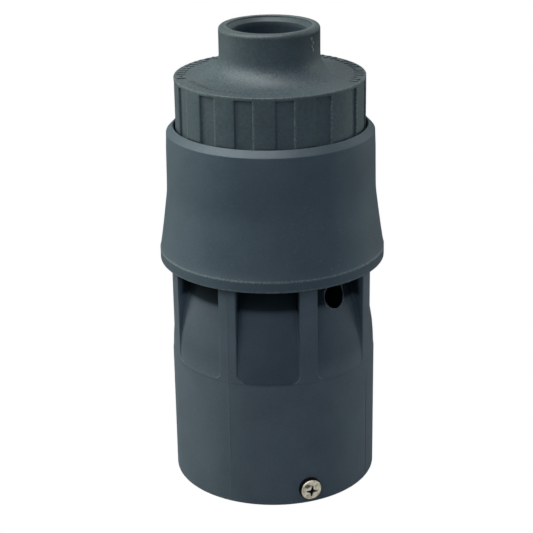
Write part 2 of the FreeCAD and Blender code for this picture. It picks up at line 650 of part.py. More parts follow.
def make_motor_end_bell():
    """Plastic lid with a spigot into the can, the rear bearing's seat and two wire holes."""
    bell = tube(CAN_R, BEARING_R, CAN_TOP, END_BELL_TOP)
    bell = bell.fuse(tube(CAN_R - CAN_WALL, CAN_R - 2 * CAN_WALL, CAN_TOP - END_BELL_SPIGOT, CAN_TOP))
    bell = bell.fuse(tube(BEARING_HOLE_R, BEARING_R, BEARING_SEAT_BOTTOM, CAN_TOP))
    for x in LEAD_XS:
        hole = rod(LEAD_R + LEAD_CLEARANCE, CAN_TOP, END_BELL_TOP, FreeCAD.Vector(x, LEAD_Y, 0))
        bell = bell.cut(hole)
    return bell.removeSplitter()


def make_stator_coil():
    return tube(CAN_R - CAN_WALL, COIL_INNER_R, COIL_BOTTOM, COIL_TOP)


def make_rotor_magnet():
    return tube(MAGNET_R, SHAFT_R, COIL_BOTTOM + MAGNET_INSET, COIL_TOP - MAGNET_INSET)


def make_motor_shaft():
    return rod(SHAFT_R, SHAFT_BOTTOM, SHAFT_TOP)


# ---- electrics ------------------------------------------------------------------------------
def make_motor_leads():
    """Two straight insulated wires from the coil up to the board."""
    return group([rod(LEAD_R, COIL_TOP, BOARD_BOTTOM, FreeCAD.Vector(x, LEAD_Y, 0)) for x in LEAD_XS])


def make_circuit_board():
    board = rod(BOARD_R, BOARD_BOTTOM, BOARD_TOP)
    return board.cut(group(posts(STUD_R, BOARD_BOTTOM, BOARD_TOP)))


def make_board_screws():
    return screw_set(STUD_R, STUD_HEAD, BOARD_BOTTOM - STUD_REACH, BOARD_TOP)


def make_terminal_block():
    """Four-way block with a screw well from above and a square mouth in front for each wire."""
    length, depth, height = TERMINAL_SIZE
    front, top = TERMINAL_Y - depth / 2, BOARD_TOP + height
    block = Part.makeBox(length, depth, height, FreeCAD.Vector(-length / 2, front, BOARD_TOP))
    for x in TERMINAL_XS:
        well = rod(TERMINAL_SCREW_R, top - TERMINAL_WELL, top, FreeCAD.Vector(x, TERMINAL_Y, 0))
        corner = FreeCAD.Vector(x - TERMINAL_MOUTH / 2, front, BOARD_TOP + TERMINAL_MOUTH_FOOT)
        mouth = Part.makeBox(TERMINAL_MOUTH, TERMINAL_MOUTH, TERMINAL_MOUTH, corner)
        block = block.cut(well).cut(mouth)
    return block


def make_terminal_screws():
    bottom = BOARD_TOP + TERMINAL_SIZE[2] - TERMINAL_WELL
    slot_l, slot_w, slot_d = TERMINAL_SLOT
    screws = []
    for x in TERMINAL_XS:
        screw = rod(TERMINAL_SCREW_R, bottom, bottom + TERMINAL_SCREW_H, FreeCAD.Vector(x, TERMINAL_Y, 0))
        corner = FreeCAD.Vector(x - slot_l / 2, TERMINAL_Y - slot_w / 2, bottom + TERMINAL_SCREW_H - slot_d)
        screws.append(screw.cut(Part.makeBox(slot_l, slot_w, slot_d, corner)))
    return group(screws)


def make_run_capacitor():
    start = FreeCAD.Vector(-CAPACITOR_LENGTH / 2, CAPACITOR_Y, BOARD_TOP + CAPACITOR_R)
    return Part.makeCylinder(CAPACITOR_R, CAPACITOR_LENGTH, start, FreeCAD.Vector(1, 0, 0))


# ---- output ---------------------------------------------------------------------------------
NODES = {
    "lower_body": make_lower_body,
    "drip_skirt": make_drip_skirt,
    "ribbed_cap": make_ribbed_cap,
    "cap_gasket": make_cap_gasket,
    "cable_grommet": make_cable_grommet,
    "locking_screw": make_locking_screw,
    "screw_insert": make_screw_insert,
    "guide_bush": make_guide_bush,
    "rod_seal": make_rod_seal,
    "push_rod": make_push_rod,
    "thrust_button": make_thrust_button,
    "crosshead": make_crosshead,
    "drive_nut": make_drive_nut,
    "nut_screws": make_nut_screws,
    "guide_posts": make_guide_posts,
    "base_screws": make_base_screws,
    "gearbox_plate": make_gearbox_plate,
    "screw_bush": make_screw_bush,
    "thrust_washer": make_thrust_washer,
    "lead_screw": make_lead_screw,
    "planet_carrier": make_planet_carrier,
    "planet_pins": make_planet_pins,
    "planet_gear_1": lambda: make_planet_gear(0),
    "planet_gear_2": lambda: make_planet_gear(1),
    "planet_gear_3": lambda: make_planet_gear(2),
    "ring_gear": make_ring_gear,
    "sun_gear": make_sun_gear,
    "motor_plate": make_motor_plate,
    "gearbox_screws": make_gearbox_screws,
    "front_bearing": make_front_bearing,
    "rear_bearing": make_rear_bearing,
    "motor_can": make_motor_can,
    "motor_end_bell": make_motor_end_bell,
    "stator_coil": make_stator_coil,
    "rotor_magnet": make_rotor_magnet,
    "motor_shaft": make_motor_shaft,
    "motor_leads": make_motor_leads,
    "spacer_posts": make_spacer_posts,
    "circuit_board": make_circuit_board,
    "board_screws": make_board_screws,
    "terminal_block": make_terminal_block,
    "terminal_screws": make_terminal_screws,
    "run_capacitor": make_run_capacitor,
}

os.makedirs("parts", exist_ok=True)
for name, make in NODES.items():
    shape = make()
    if not shape.isValid():
        raise ValueError(name + " is not a valid shape")
    shape.exportStep("parts/" + name + ".step")
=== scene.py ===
import json
import math
import random

import bmesh
import bpy
from mathutils import Matrix, Vector


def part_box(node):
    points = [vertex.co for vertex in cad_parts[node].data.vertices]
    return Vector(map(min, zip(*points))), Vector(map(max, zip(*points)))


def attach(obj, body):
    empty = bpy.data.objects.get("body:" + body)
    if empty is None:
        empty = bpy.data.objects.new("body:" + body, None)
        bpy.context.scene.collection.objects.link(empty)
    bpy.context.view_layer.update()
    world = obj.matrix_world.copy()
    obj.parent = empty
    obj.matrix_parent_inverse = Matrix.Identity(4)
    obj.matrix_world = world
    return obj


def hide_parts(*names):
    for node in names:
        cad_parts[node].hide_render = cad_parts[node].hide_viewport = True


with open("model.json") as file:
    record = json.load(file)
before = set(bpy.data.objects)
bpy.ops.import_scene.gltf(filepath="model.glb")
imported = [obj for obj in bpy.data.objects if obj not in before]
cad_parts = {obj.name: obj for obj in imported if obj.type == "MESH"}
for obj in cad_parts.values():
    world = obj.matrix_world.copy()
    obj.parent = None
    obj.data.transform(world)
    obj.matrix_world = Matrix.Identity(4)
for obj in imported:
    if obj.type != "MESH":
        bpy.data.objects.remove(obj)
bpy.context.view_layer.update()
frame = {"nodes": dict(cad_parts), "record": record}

# ---- sizes in metres and angles in radians; azimuths run from -Y towards +X ---------------------
# wear_and_painted_light is a value on every point of the housing: above zero it is pale, for rubbed edges
# and painted highlights; below zero it is painted shade, down to a painted black shadow.
MM = 0.001
BODY_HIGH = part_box("lower_body")[1]
SKIRT_LOW, SKIRT_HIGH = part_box("drip_skirt")
CAP_LOW, CAP_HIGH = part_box("ribbed_cap")

# body, from the rim up
BASE_R = BODY_HIGH.x
COLLAR_BORE_R = 31.5 * MM
COLLAR_BORE_TOP = 32 * MM
COLLAR_ROWS = (2, 4, 8, 12, 18, 24, 30, 36, 40, 43, 44.6, 45.4)     # heights of its rings in mm
RIM_HEIGHT = 2 * MM         # the rounded rim ends within this height
RIM_BORE_ROUND = 0.5 * MM
RIM_BORE_WEAR = 0.5
RIM_OUTER_ROUND = 0.45 * MM
RIM_OUTER_WEAR = 0.8
ROD_ROOM_R = 28 * MM
FLOOR_BOTTOM = 40 * MM
FLOOR_TOP = 44 * MM
BOSS_UNDER = 37 * MM
BOSS_R = 8.5 * MM
BOSS_SLOPE = 3 * MM
BUSH_R = 7.0 * MM
BUSH_SEAT = 37.8 * MM
ROD_HOLE_R = 5.3 * MM
CAVITY_R = 27 * MM
BODY_NECK_R = 29.4 * MM
SHOULDER_R = 33.3 * MM
SHOULDER_BOTTOM = 91 * MM
SHOULDER_TOP = 96 * MM

# ribs and the leaning pockets between them
RIBS = 8
RIB_PITCH = math.radians(360 / RIBS)
RIB_AZIMUTH = math.radians(19.4)
RIB_HALF = math.radians(10.3) / 2
RIB_TOP = 87 * MM
POCKET_BOTTOM = 46 * MM
POCKET_LIFT = 1.5 * MM      # a pocket sinks in over this height
POCKET_CORNER = 2.4 * MM
POCKET_FLOOR = ((46.0, 35.36), (51.0, 35.15), (55.0, 34.8), (59.0, 34.15), (64.0, 33.2), (68.5, 32.1),
                (72.0, 31.0), (75.0, 30.5))     # (height, radius) in mm
POCKET_FRONT = RIB_AZIMUTH - RIB_PITCH / 2      # middle of the front pocket
CORNER_ROW = 0.25 * MM      # spacing of the rings over the pockets' lower corners
WALL_ROW = 1.5 * MM         # and over the rest of the pockets
EDGE_ROUND = 0.24 * MM
# painted shade on the pockets' rounded edges
EDGE_PAINTED_SHADE = -0.12
FOOT_ROUND = 0.45 * MM
ARC_STEPS = 5               # steps of a quarter round on the ribs and pockets
FLOOR_STEPS = 12            # steps across half a pocket floor
LIFT_STEPS = 8              # steps up the pocket's lower end
WALL_GAP = 0.00003          # angle that keeps the points of an upright wall apart
PARTING_WIDTH = 0.2 * MM
PARTING_LINES = {1: (0.08 * MM, RIB_TOP), 3: (-0.25 * MM, 38 * MM)}     # rib: (height, upper end)
PARTING_SHADE = 0.4 * MM    # a seam this deep would be fully dark
FRONT_PAINTED_SHADE = 0.45        # painted shade of the front pocket's floor, of the others, and painted shadow under the skirt
SIDE_PAINTED_SHADE = 0.26
SKIRT_PAINTED_SHADOW = 0.92
SIDE_SHADE_RISE = 9 * MM       # the side pockets' painted shade grows over this height
SHADE_START = 69 * MM       # and all pockets darken to a painted black shadow between these two heights, under the skirt
SHADE_END = 71.5 * MM

# holes of the body
VENT_R = 4.25 * MM
VENT_Z = 72.8 * MM
VENT_AZIMUTH = RIB_AZIMUTH + RIB_PITCH / 2
VENT_START = CAVITY_R - 3 * MM
VENT_STEP = 0.5 * MM        # spacing of the rings along the hole
VENT_RINGS = 24
VENT_RIM = 0.3 * MM         # points this close to the hole belong to its wall
FLOOR_MARGIN = 0.05 * MM    # unless they lie this close under the pocket floor
INSERT_R = 2.8 * MM
CUT_MARGIN = 2 * MM         # a cutter reaches this far past the wall

# skirt
LIP_R = SKIRT_HIGH.x
SKIRT_WALL = 1.9 * MM
LIP_CHAMFER = 0.9 * MM
LIP_EDGE = 3.75 * MM        # height of the lip's upper edge
LIP_BAND = 0.55 * MM        # a step of the outline just under that edge
SKIRT_FLARE = ((38.42, 84.3), (38.06, 86.6), (37.7, 88.8), (37.38, 91.0), (37.08, 93.1), (36.78, 95.3),
               (36.47, 97.6), (36.17, 99.9), (35.9, 101.9), (35.72, 103.6), (35.63, 105.4), (35.58, 107.4),
               (35.5, 113.0), (35.42, 119.0))     # (radius, height) in mm
SKIRT_MOUTH_R = 32.7 * MM
MOUTH_CHAMFER_R = 35.2 * MM
MOUTH_CHAMFER = 2.6 * MM
FLANGE_TOP = 99.5 * MM
COUNTERBORE_LOW = 92.5 * MM
SKIRT_ROOM_TOP = 84.0 * MM
FIT = 0.05 * MM             # clearance between skirt and body
SKIRT_COLUMNS = 288

# cap: grip ring, ledge, neck and socket
CAP_R = CAP_HIGH.x
PANELS = 15
PANEL_PITCH = math.radians(360 / PANELS)
PANEL_AZIMUTH = math.radians(8.3)
PANEL_HALF = math.radians(10.7) / 2
PANEL_EDGE = 0.28 * MM
PANEL_GAP = 0.00004         # angle that keeps the points of a panel's wall apart
PANEL_FOOT = 0.3            # shares of the depth that the rounds at the wall's foot and edge take
PANEL_CREST = 0.35
PANEL_ARC_STEPS = 3
PANEL_END_HIGHLIGHT = 0.4        # painted highlight where the lit edge of a panel meets the land
LAND_STEPS = 5
PANEL_DEPTH = 0.85 * MM
PANEL_BOTTOM = 106.8 * MM
PANEL_TOP = 142.2 * MM
PANEL_FADE_START = PANEL_TOP - 0.1 * MM     # the panels end over a short slope
PANEL_FADE = 0.22 * MM
PANEL_FADE_STEPS = 4
PANEL_ROWS = (112, 117, 122, 126, 130, 134, 138, 141)     # heights of the ring's rows in mm
LEDGE_Z = 143.4 * MM
LEDGE_R = 31.6 * MM
LEDGE_ROUND = 0.7 * MM
# the ledge's edge is pale from rubbing and also carries a painted highlight
LEDGE_WEAR_AND_HIGHLIGHT = 0.7
NECK_R = 16.85 * MM
NECK_FILLET = 7.0 * MM
RIM_ROUND = 1.5 * MM
CAP_ARC_STEPS = 12
SOCKET_R = 12.5 * MM
SOCKET_MOUTH_R = 14.05 * MM
SOCKET_TOP = 158.3 * MM
SOCKET_STOP = 139.6 * MM
STOP_R = 9.5 * MM
STOP_UNDER = 134.6 * MM
STOP_OUTER_R = 14 * MM
LEDGE_UNDER = 138.4 * MM
CAP_ROOM_R = 29.9 * MM
CAP_THREAD_R = 29.55 * MM
CAP_THREAD_TOP = 118 * MM

# painted light and shade on the cap: (value, azimuth, spread)
PAINTED_LIGHT_FALL = 2.2                      # how fast a patch of painted light fades beyond its spread
FOOT_PAINTED_LIGHT = ((0.58, 0.48, 0.13), (-0.3, 0.24, 0.1))     # a painted highlight band and a lower painted shade band: (value, share of the fillet's height, width)
FOOT_HIGHLIGHT_AZIMUTH = math.radians(-6)       # a painted highlight lies round the front of the neck's foot
PAINTED_LIGHT_SPREAD = math.radians(42)
NECK_SHADE = math.radians(62)         # the neck has painted shade on this side
NECK_PAINTED_SHADE = -0.3
LEDGE_START = NECK_R + 0.85 * NECK_FILLET      # the ledge has its own painted light and shade beyond this radius
# the ledge is painted darker at the front and paler at both sides
LEDGE_PAINTED_LIGHT = ((-0.16, math.radians(-2), math.radians(32)), (0.30, math.radians(-75), math.radians(50)),
                (0.20, math.radians(80), math.radians(50)))

# raised marks: rows of (first azimuth, last azimuth, radius, size), azimuths in degrees
MARK_ARCS = ((-146, -80, 29.6 * MM, 2.7 * MM), (66, 143, 29.6 * MM, 2.7 * MM),
             (-69, 12, 27.2 * MM, 1.7 * MM))
MARK_HEIGHT = 0.42 * MM / 2.6       # height of a mark for each millimetre of its size
MARK_SUNK = -0.3 * MM               # a mark starts this far inside the surface
NECK_DOTS = ((54, 157.0), (57, 155.7), (54.5, 154.4), (57, 153.4))     # azimuth in degrees, height in mm
NECK_DOT_SIZE = (0.5 * MM, 0.45 * MM, 0.16 * MM)     # half length, half width, height
NECK_DOT_WEAR = 0.8
STROKE_HALF = 0.16                  # from here on, shares of a mark's size
BAR_HALF = 0.55
DASH_HALF = 0.32
DASH_SHIFTS = (-0.3, 0.0, 0.3)
DOT_SHIFTS = (-0.35, 0.35)
DOT_HALF = STROKE_HALF * 1.3

# locking screw
LOCK_Z = 5.7 * MM
LOCK_AZIMUTH = RIB_AZIMUTH
LOCK_HEAD_R = 4 * MM
LOCK_FACE_R = 3.6 * MM      # the head draws in a little towards its face
LOCK_CROWN = 2.2 * MM
LOCK_CROWN_EDGE = 0.68      # share of the crown's height at the edge of the face
LOCK_CROWN_POWER = 3.2      # higher is flatter in the middle
LOCK_EDGE = 0.35 * MM
LOCK_SHANK_R = 1.95 * MM
LOCK_POINT_R = 1.6 * MM
LOCK_TURN = math.radians(-7)
LOCK_RINGS = 64
LOCK_SPOKES = 128
CROSS_REACH = 2.1 * MM
CROSS_DEPTH = 1.5 * MM
CROSS_DARK = 0.45 * MM      # the recess is painted black from this depth on
CROSS_WIDTH = (0.22, 0.52)  # half width of an arm at its tip, and what it gains at its root, in mm
CROSS_POWER = 1.4           # higher keeps the arms narrow for longer
CROSS_TIP = 0.16            # share of an arm over which it rises to the face
CROSS_BLUR = 0.1 * MM       # half width of the slope at the side of an arm
CROSS_OFF = (0.1 * MM, -0.45 * MM)     # the cross sits a little off the middle
DENT_AT = (-1.45 * MM, 1.65 * MM)
DENT_SIZE = (1.45 * MM, 1.0 * MM)
DENT_DEPTH = 0.22 * MM
DENT_SLOPE = 0.5            # share of the dent's reach that slopes
DENT_SHADE = 0.8

# meshes
WELD = 0.002 * MM           # points of a mesh closer than this become one
SAME = 0.1 * MM             # radii closer than this count as one surface
HIGHLIGHT_AND_WEAR_GUARD = 0.22 * MM      # the pale rubbing and painted highlight of a rounded corner end this far beyond the rounding
EDGE_LIMIT = 0.48           # a rounding takes at most this share of the line beside it


# ---- mesh helpers -------------------------------------------------------------------------------
def at(radius, azimuth, z):
    return (radius * math.sin(azimuth), -radius * math.cos(azimuth), z)


def smooth_step(value):
    value = max(0.0, min(1.0, value))
    return value * value * (3 - 2 * value)


def bell(value, middle, width):
    return math.exp(-((value - middle) / width) ** 2)


def mesh_object(name, points, faces, wear_and_painted_light=None):
    mesh = bpy.data.meshes.new(name)
    mesh.from_pydata(points, [], faces)
    mesh.update()
    if wear_and_painted_light is not None:
        layer = mesh.attributes.new("wear_and_painted_light", "FLOAT", "POINT")
        layer.data.foreach_set("value", wear_and_painted_light)
    piece = bpy.data.objects.new(name, mesh)
    bpy.context.scene.collection.objects.link(piece)
    for polygon in mesh.polygons:
        polygon.use_smooth = True
    return piece


def rounded(corners, steps=6):
    """Profile through (radius, z, rounding, wear_and_painted_light) corners, each one rounded to an arc.

    Returns (radius, z, wear_and_painted_light) points. The value of a corner shows on its rounding only."""
    profile = []
    count = len(corners)
    for index, (radius, z, rounding, wear_and_painted_light) in enumerate(corners):
        here = Vector((radius, z))
        before = Vector(corners[index - 1][:2]) - here
        after = Vector(corners[(index + 1) % count][:2]) - here
        if rounding <= 0 or before.length == 0 or after.length == 0:
            profile.append((radius, z, wear_and_painted_light))
            continue
        half = before.angle(after) / 2
        reach = min(rounding / math.tan(half), before.length * EDGE_LIMIT, after.length * EDGE_LIMIT)
        start = here + before.normalized() * reach
        end = here + after.normalized() * reach
        roomy = 3 * (reach + HIGHLIGHT_AND_WEAR_GUARD)
        if wear_and_painted_light > 0 and corners[index - 1][3] == 0 and before.length > roomy:
            clear = start + before.normalized() * HIGHLIGHT_AND_WEAR_GUARD
            profile.append((clear.x, clear.y, 0.0))
        for step in range(steps + 1):
            share = step / steps
            weight = 2 * math.sin(half) * share * (1 - share)
            blend = ((start * (1 - share) ** 2 + here * weight + end * share ** 2)
                     / ((1 - share) ** 2 + weight + share ** 2))
            profile.append((blend.x, blend.y, wear_and_painted_light))
        if wear_and_painted_light > 0 and corners[(index + 1) % count][3] == 0 and after.length > roomy:
            clear = end + after.normalized() * HIGHLIGHT_AND_WEAR_GUARD
            profile.append((clear.x, clear.y, 0.0))
    return profile


def ring_faces(rows, columns, closed=False):
    """Faces between rings of points, the last ring joined to the first one if closed."""
    faces = []
    for row in range(rows if closed else rows - 1):
        above = (row + 1) % rows
        for column in range(columns):
            beside = (column + 1) % columns
            faces.append((row * columns + column, row * columns + beside,
                          above * columns + beside, above * columns + column))
    return faces


def loft(name, rows):
    """Closed surface through rings of (point, wear_and_painted_light); the last ring joins the first one.
    """
    points = [point for row in rows for point, amount in row]
    wear_and_painted_light = [amount for row in rows for point, amount in row]
    return mesh_object(name, points, ring_faces(len(rows), len(rows[0]), closed=True), wear_and_painted_light)


def lathe(name, profile, columns):
    rows = [
        [(at(radius, 2 * math.pi * column / columns, z), wear_and_painted_light) for column in range(columns)]
        for radius, z, wear_and_painted_light in profile
    ]
    return loft(name, rows)


def tidy(piece, angle=30):
    """Consistent outward normals, and sharp edges only where the surface really turns."""
    work = bmesh.new()
    work.from_mesh(piece.data)
    bmesh.ops.recalc_face_normals(work, faces=work.faces)
    work.to_mesh(piece.data)
    work.free()
    piece.data.set_sharp_from_angle(angle=math.radians(angle))
    return piece


def clean(mesh):
    """Removes the double points, slivers and loose points that a cut leaves."""
    work = bmesh.new()
    work.from_mesh(mesh)
    bmesh.ops.triangulate(work, faces=[face for face in work.faces if len(face.verts) > 4])
    bmesh.ops.remove_doubles(work, verts=work.verts, dist=WELD)
    bmesh.ops.dissolve_degenerate(work, edges=work.edges, dist=WELD)
    slivers = [face for face in work.faces if face.calc_area() < WELD ** 2]
    bmesh.ops.delete(work, geom=slivers, context="FACES")
    loose = [vertex for vertex in work.verts if not vertex.link_faces]
    bmesh.ops.delete(work, geom=loose, context="VERTS")
    work.to_mesh(mesh)
    work.free()


def cut(piece, cutter):
    """Takes the cutter out of the piece, and removes the cutter."""
    modifier = piece.modifiers.new("cut", "BOOLEAN")
    modifier.operation = "DIFFERENCE"
    modifier.solver = "EXACT"
    modifier.object = cutter
    depsgraph = bpy.context.evaluated_depsgraph_get()
    result = bpy.data.meshes.new_from_object(piece.evaluated_get(depsgraph))
    piece.modifiers.remove(modifier)
    piece.data = result
    bpy.data.objects.remove(cutter)
    clean(result)


def radial_cutter(name, profile, azimuth, z, segments=64):
    """Turned cutter that points outwards; the profile holds (radius, distance from the Z axis)."""
    out = Vector(at(1, azimuth, 0))
    side = Vector((0, 0, 1)).cross(out)
    points = []
    for radius, distance in profile:
        for step in range(segments):
            turn = 2 * math.pi * step / segments
            rise = Vector((0, 0, radius * math.sin(turn) + z))
            points.append(tuple(out * distance + side * (radius * math.cos(turn)) + rise))
    faces = ring_faces(len(profile), segments)
    faces.append(tuple(range(segments)))
    faces.append(tuple(range(len(points) - 1, len(points) - segments - 1, -1)))
    # every point of the cutter carries -1, which paints the walls it cuts with black shade
    return tidy(mesh_object(name, points, faces, [-1.0] * len(points)))


# ---- body ---------------------------------------------------------------------------------------
def pocket_floor(z):
    """Radius of the leaning pocket floor at a height."""
    height = z / MM
    previous = POCKET_FLOOR[0]
    for knot in POCKET_FLOOR[1:]:
        if height <= knot[0]:
            share = (height - previous[0]) / (knot[0] - previous[0])
            return (previous[1] + (knot[1] - previous[1]) * max(0.0, share)) * MM
        previous = knot
    return previous[1] * MM


def corner_inset(z):
    """How far the round lower corners of a pocket narrow it at a height."""
    above = z - POCKET_BOTTOM
    if above >= POCKET_CORNER:
        return 0.0
    rise = POCKET_CORNER - max(0.0, above)
    return POCKET_CORNER - math.sqrt(max(0.0, POCKET_CORNER ** 2 - rise ** 2))


def rib_columns(z, depth_share):
    """(azimuth from the rib's centre, radius, painted shade) across one rib and half a pocket each side.

    Negative values paint shade on the pocket's rounded edge, wall and floor."""
    floor = pocket_floor(z)
    depth = (BASE_R - floor) * depth_share
    floor = BASE_R - depth
    wall = RIB_HALF + corner_inset(z) / BASE_R
    edge = min(EDGE_ROUND, depth / 2)
    foot = min(FOOT_ROUND, depth / 2)
    half = [(0.0, BASE_R, 0.0)]
    half += [(PARTING_WIDTH / BASE_R / 2, BASE_R, 0.0), (PARTING_WIDTH / BASE_R, BASE_R, 0.0)]
    half += [(RIB_HALF * share, BASE_R, 0.0) for share in (0.2, 0.4, 0.6, 0.8)]
    for step in range(ARC_STEPS + 1):
        turn = math.radians(90 * step / ARC_STEPS)
        azimuth = wall - EDGE_ROUND / BASE_R * (1 - math.sin(turn))
        half.append((azimuth, BASE_R - edge * (1 - math.cos(turn)), EDGE_PAINTED_SHADE if step else 0.0))
    half.append((wall + WALL_GAP, BASE_R - edge - (depth - edge - foot) / 2, -1.0))
    for step in range(ARC_STEPS + 1):
        turn = math.radians(90 * step / ARC_STEPS)
        azimuth = wall + 2 * WALL_GAP + FOOT_ROUND / BASE_R * (1 - math.cos(turn))
        half.append((azimuth, floor + foot * (1 - math.sin(turn)), -1.0))
    last = half[-1][0]
    rest = RIB_PITCH / 2 - last
    half += [(last + rest * step / FLOOR_STEPS, floor, -1.0) for step in range(1, FLOOR_STEPS + 1)]
    mirror = [(-azimuth, radius, wear_and_painted_light) for azimuth, radius, wear_and_painted_light in half[1:-1]]
    return mirror[::-1] + half


def parting_line(rib, offset, z):
    """Extra radius of the thin flash line or seam along two of the ribs."""
    height, end = PARTING_LINES.get(rib, (0.0, 0.0))
    if z > end or abs(offset) > PARTING_WIDTH / BASE_R * 0.9:
        return 0.0
    return height * (1 - abs(offset) / (PARTING_WIDTH / BASE_R))


def painted_pocket_shade(z, azimuth):
    """Painted shade on a pocket floor, as a negative value: darker in the front pocket, a painted black
    shadow under the skirt.
    """
    front = math.exp(-((azimuth - POCKET_FRONT) / (RIB_PITCH / 2)) ** 4)
    side = SIDE_PAINTED_SHADE * (1 - front) * smooth_step((z - POCKET_BOTTOM) / SIDE_SHADE_RISE)
    calm = FRONT_PAINTED_SHADE * front + side
    deep = smooth_step((z - SHADE_START) / (SHADE_END - SHADE_START))
    return -(calm + (SKIRT_PAINTED_SHADOW - calm) * deep)


def body_row(z, depth_share, radius=None, wear_and_painted_light=0.0, parting=True):
    """One ring of the body: plain at a given radius, or shaped by the ribs and pockets."""
    ring = []
    for rib in range(RIBS):
        for offset, shaped, edge_painted_light in rib_columns(z, depth_share):
            reach = shaped if radius is None else radius
            line = parting_line(rib, offset, z) if parting and reach > BASE_R - SAME else 0.0
            azimuth = RIB_AZIMUTH + (rib - 2) * RIB_PITCH + offset
            if radius is not None:
                amount = wear_and_painted_light
            elif edge_painted_light == EDGE_PAINTED_SHADE:
                amount = edge_painted_light * depth_share
            elif edge_painted_light < 0:     # painted shade: dark soon after the pocket starts, a little more where it is steep
                steep = 4 * depth_share * (1 - depth_share)
                amount = painted_pocket_shade(z, azimuth) * min(1.0, depth_share * 5) + EDGE_PAINTED_SHADE * steep
            else:
                amount = 0.0
            ring.append((at(reach + line, azimuth, z), amount if line >= 0 else line / PARTING_SHADE))
    return ring


def blacken_vent(body):
    """Deep shade on the wall of the vent hole."""
    axis = Vector(at(1, VENT_AZIMUTH, 0))
    layer = body.data.attributes["wear_and_painted_light"].data
    for vertex in body.data.vertices:
        spot = vertex.co - Vector((0, 0, VENT_Z))
        along = spot.dot(axis)
        inside = math.hypot(vertex.co.x, vertex.co.y) < pocket_floor(vertex.co.z) - FLOOR_MARGIN
        near = (spot - axis * along).length < VENT_R + VENT_RIM
        if inside and near and along > CAVITY_R - CUT_MARGIN:
            layer[vertex.index].value = -1.0


def body_outside():
    """Rings of the collar, the ribs and the pockets."""
    rim = rounded([     # (radius, z, rounding, wear)
        (COLLAR_BORE_R, 0, RIM_BORE_ROUND, RIM_BORE_WEAR), (BASE_R, 0, RIM_OUTER_ROUND, RIM_OUTER_WEAR),
        (BASE_R, 4 * RIM_HEIGHT, 0, 0.0), (COLLAR_BORE_R, 4 * RIM_HEIGHT, 0, 0.0)], ARC_STEPS)
    rows = [body_row(z, 0.0, radius, wear_and_painted_light) for radius, z, wear_and_painted_light in rim if z < RIM_HEIGHT]
    rows += [body_row(z * MM, 0.0) for z in COLLAR_ROWS]
    for step in range(LIFT_STEPS + 1):
        share = step / LIFT_STEPS
        z = POCKET_BOTTOM - POCKET_LIFT / 2 + POCKET_LIFT * share
        rows.append(body_row(z, smooth_step(share)))
    z = POCKET_BOTTOM + POCKET_LIFT
    while z < POCKET_BOTTOM + POCKET_CORNER + 0.2 * MM:
        rows.append(body_row(z, 1.0))
        z += CORNER_ROW
    while z < RIB_TOP:
        rows.append(body_row(z, 1.0))
        z += WALL_ROW
    rows.append(body_row(RIB_TOP, 1.0))
    return rows


def body_inside():
    """Rings from the shoulder over the neck, down through the rooms and back to the collar's bore."""
    outline = (
        (SHOULDER_R, SHOULDER_BOTTOM), (SHOULDER_R, SHOULDER_TOP), (BODY_NECK_R, SHOULDER_TOP),
        (BODY_NECK_R, BODY_HIGH.z), (CAVITY_R, BODY_HIGH.z), (CAVITY_R, FLOOR_TOP),
        (BUSH_R, FLOOR_TOP), (BUSH_R, BUSH_SEAT), (ROD_HOLE_R, BUSH_SEAT), (ROD_HOLE_R, BOSS_UNDER),
        (BOSS_R, BOSS_UNDER), (BOSS_R + BOSS_SLOPE, FLOOR_BOTTOM), (ROD_ROOM_R, FLOOR_BOTTOM),
        (ROD_ROOM_R, COLLAR_BORE_TOP), (COLLAR_BORE_R, COLLAR_BORE_TOP))
    return [body_row(z, 0.0, radius, parting=False) for radius, z in outline]


def build_body():
    """Collar, ribs with leaning pockets, and the neck under the cap, as one closed moulding."""
    body = tidy(loft("body_moulding", body_outside() + body_inside()))
    vent_profile = [(VENT_R, VENT_START + step * VENT_STEP) for step in range(VENT_RINGS)]
    cut(body, radial_cutter("vent_cutter", vent_profile, VENT_AZIMUTH, VENT_Z))
    blacken_vent(body)
    insert_profile = [(INSERT_R, COLLAR_BORE_R - CUT_MARGIN), (INSERT_R, BASE_R + CUT_MARGIN)]
    cut(body, radial_cutter("insert_cutter", insert_profile, LOCK_AZIMUTH, LOCK_Z))
    return tidy(body)


# ---- skirt --------------------------------------------------------------------------------------
def build_skirt():
    """Flared drip skirt, a thin turned shell with a clamped flange inside."""
    inner = LIP_R - SKIRT_WALL
    bottom = SKIRT_LOW.z
    top = SKIRT_HIGH.z
    corners = [     # (radius, z, rounding, wear)
        (inner, bottom, 0.4 * MM, 0.0), (LIP_R - LIP_CHAMFER, bottom, 0, 0.0),
        # the lip's lower and upper edges are pale from rubbing and also carry a painted highlight line
        (LIP_R, bottom, 0.35 * MM, 0.7), (LIP_R, bottom + LIP_CHAMFER, 0, 0.0),
        (LIP_R, bottom + LIP_EDGE - LIP_BAND, 0, 0.0), (LIP_R, bottom + LIP_EDGE, 0.22 * MM, 1.0),
    ]
    corners += [(radius * MM, z * MM, 0, 0.0) for radius, z in SKIRT_FLARE]
    corners += [
        (MOUTH_CHAMFER_R, top - MOUTH_CHAMFER, 0.5 * MM, 0.0), (SKIRT_MOUTH_R, top, 0.35 * MM, 0.12),
        (SKIRT_MOUTH_R, FLANGE_TOP, 0.3 * MM, 0.0), (BODY_NECK_R + FIT, FLANGE_TOP, 0, 0.0),
        (BODY_NECK_R + FIT, SHOULDER_TOP, 0, 0.0), (SHOULDER_R + FIT, SHOULDER_TOP, 0, 0.0),
        (SHOULDER_R + FIT, COUNTERBORE_LOW, 0.2 * MM, 0.0), (inner, SKIRT_ROOM_TOP, 0.5 * MM, 0.0),
    ]
    return tidy(lathe("drip_skirt_shell", rounded(corners), SKIRT_COLUMNS))


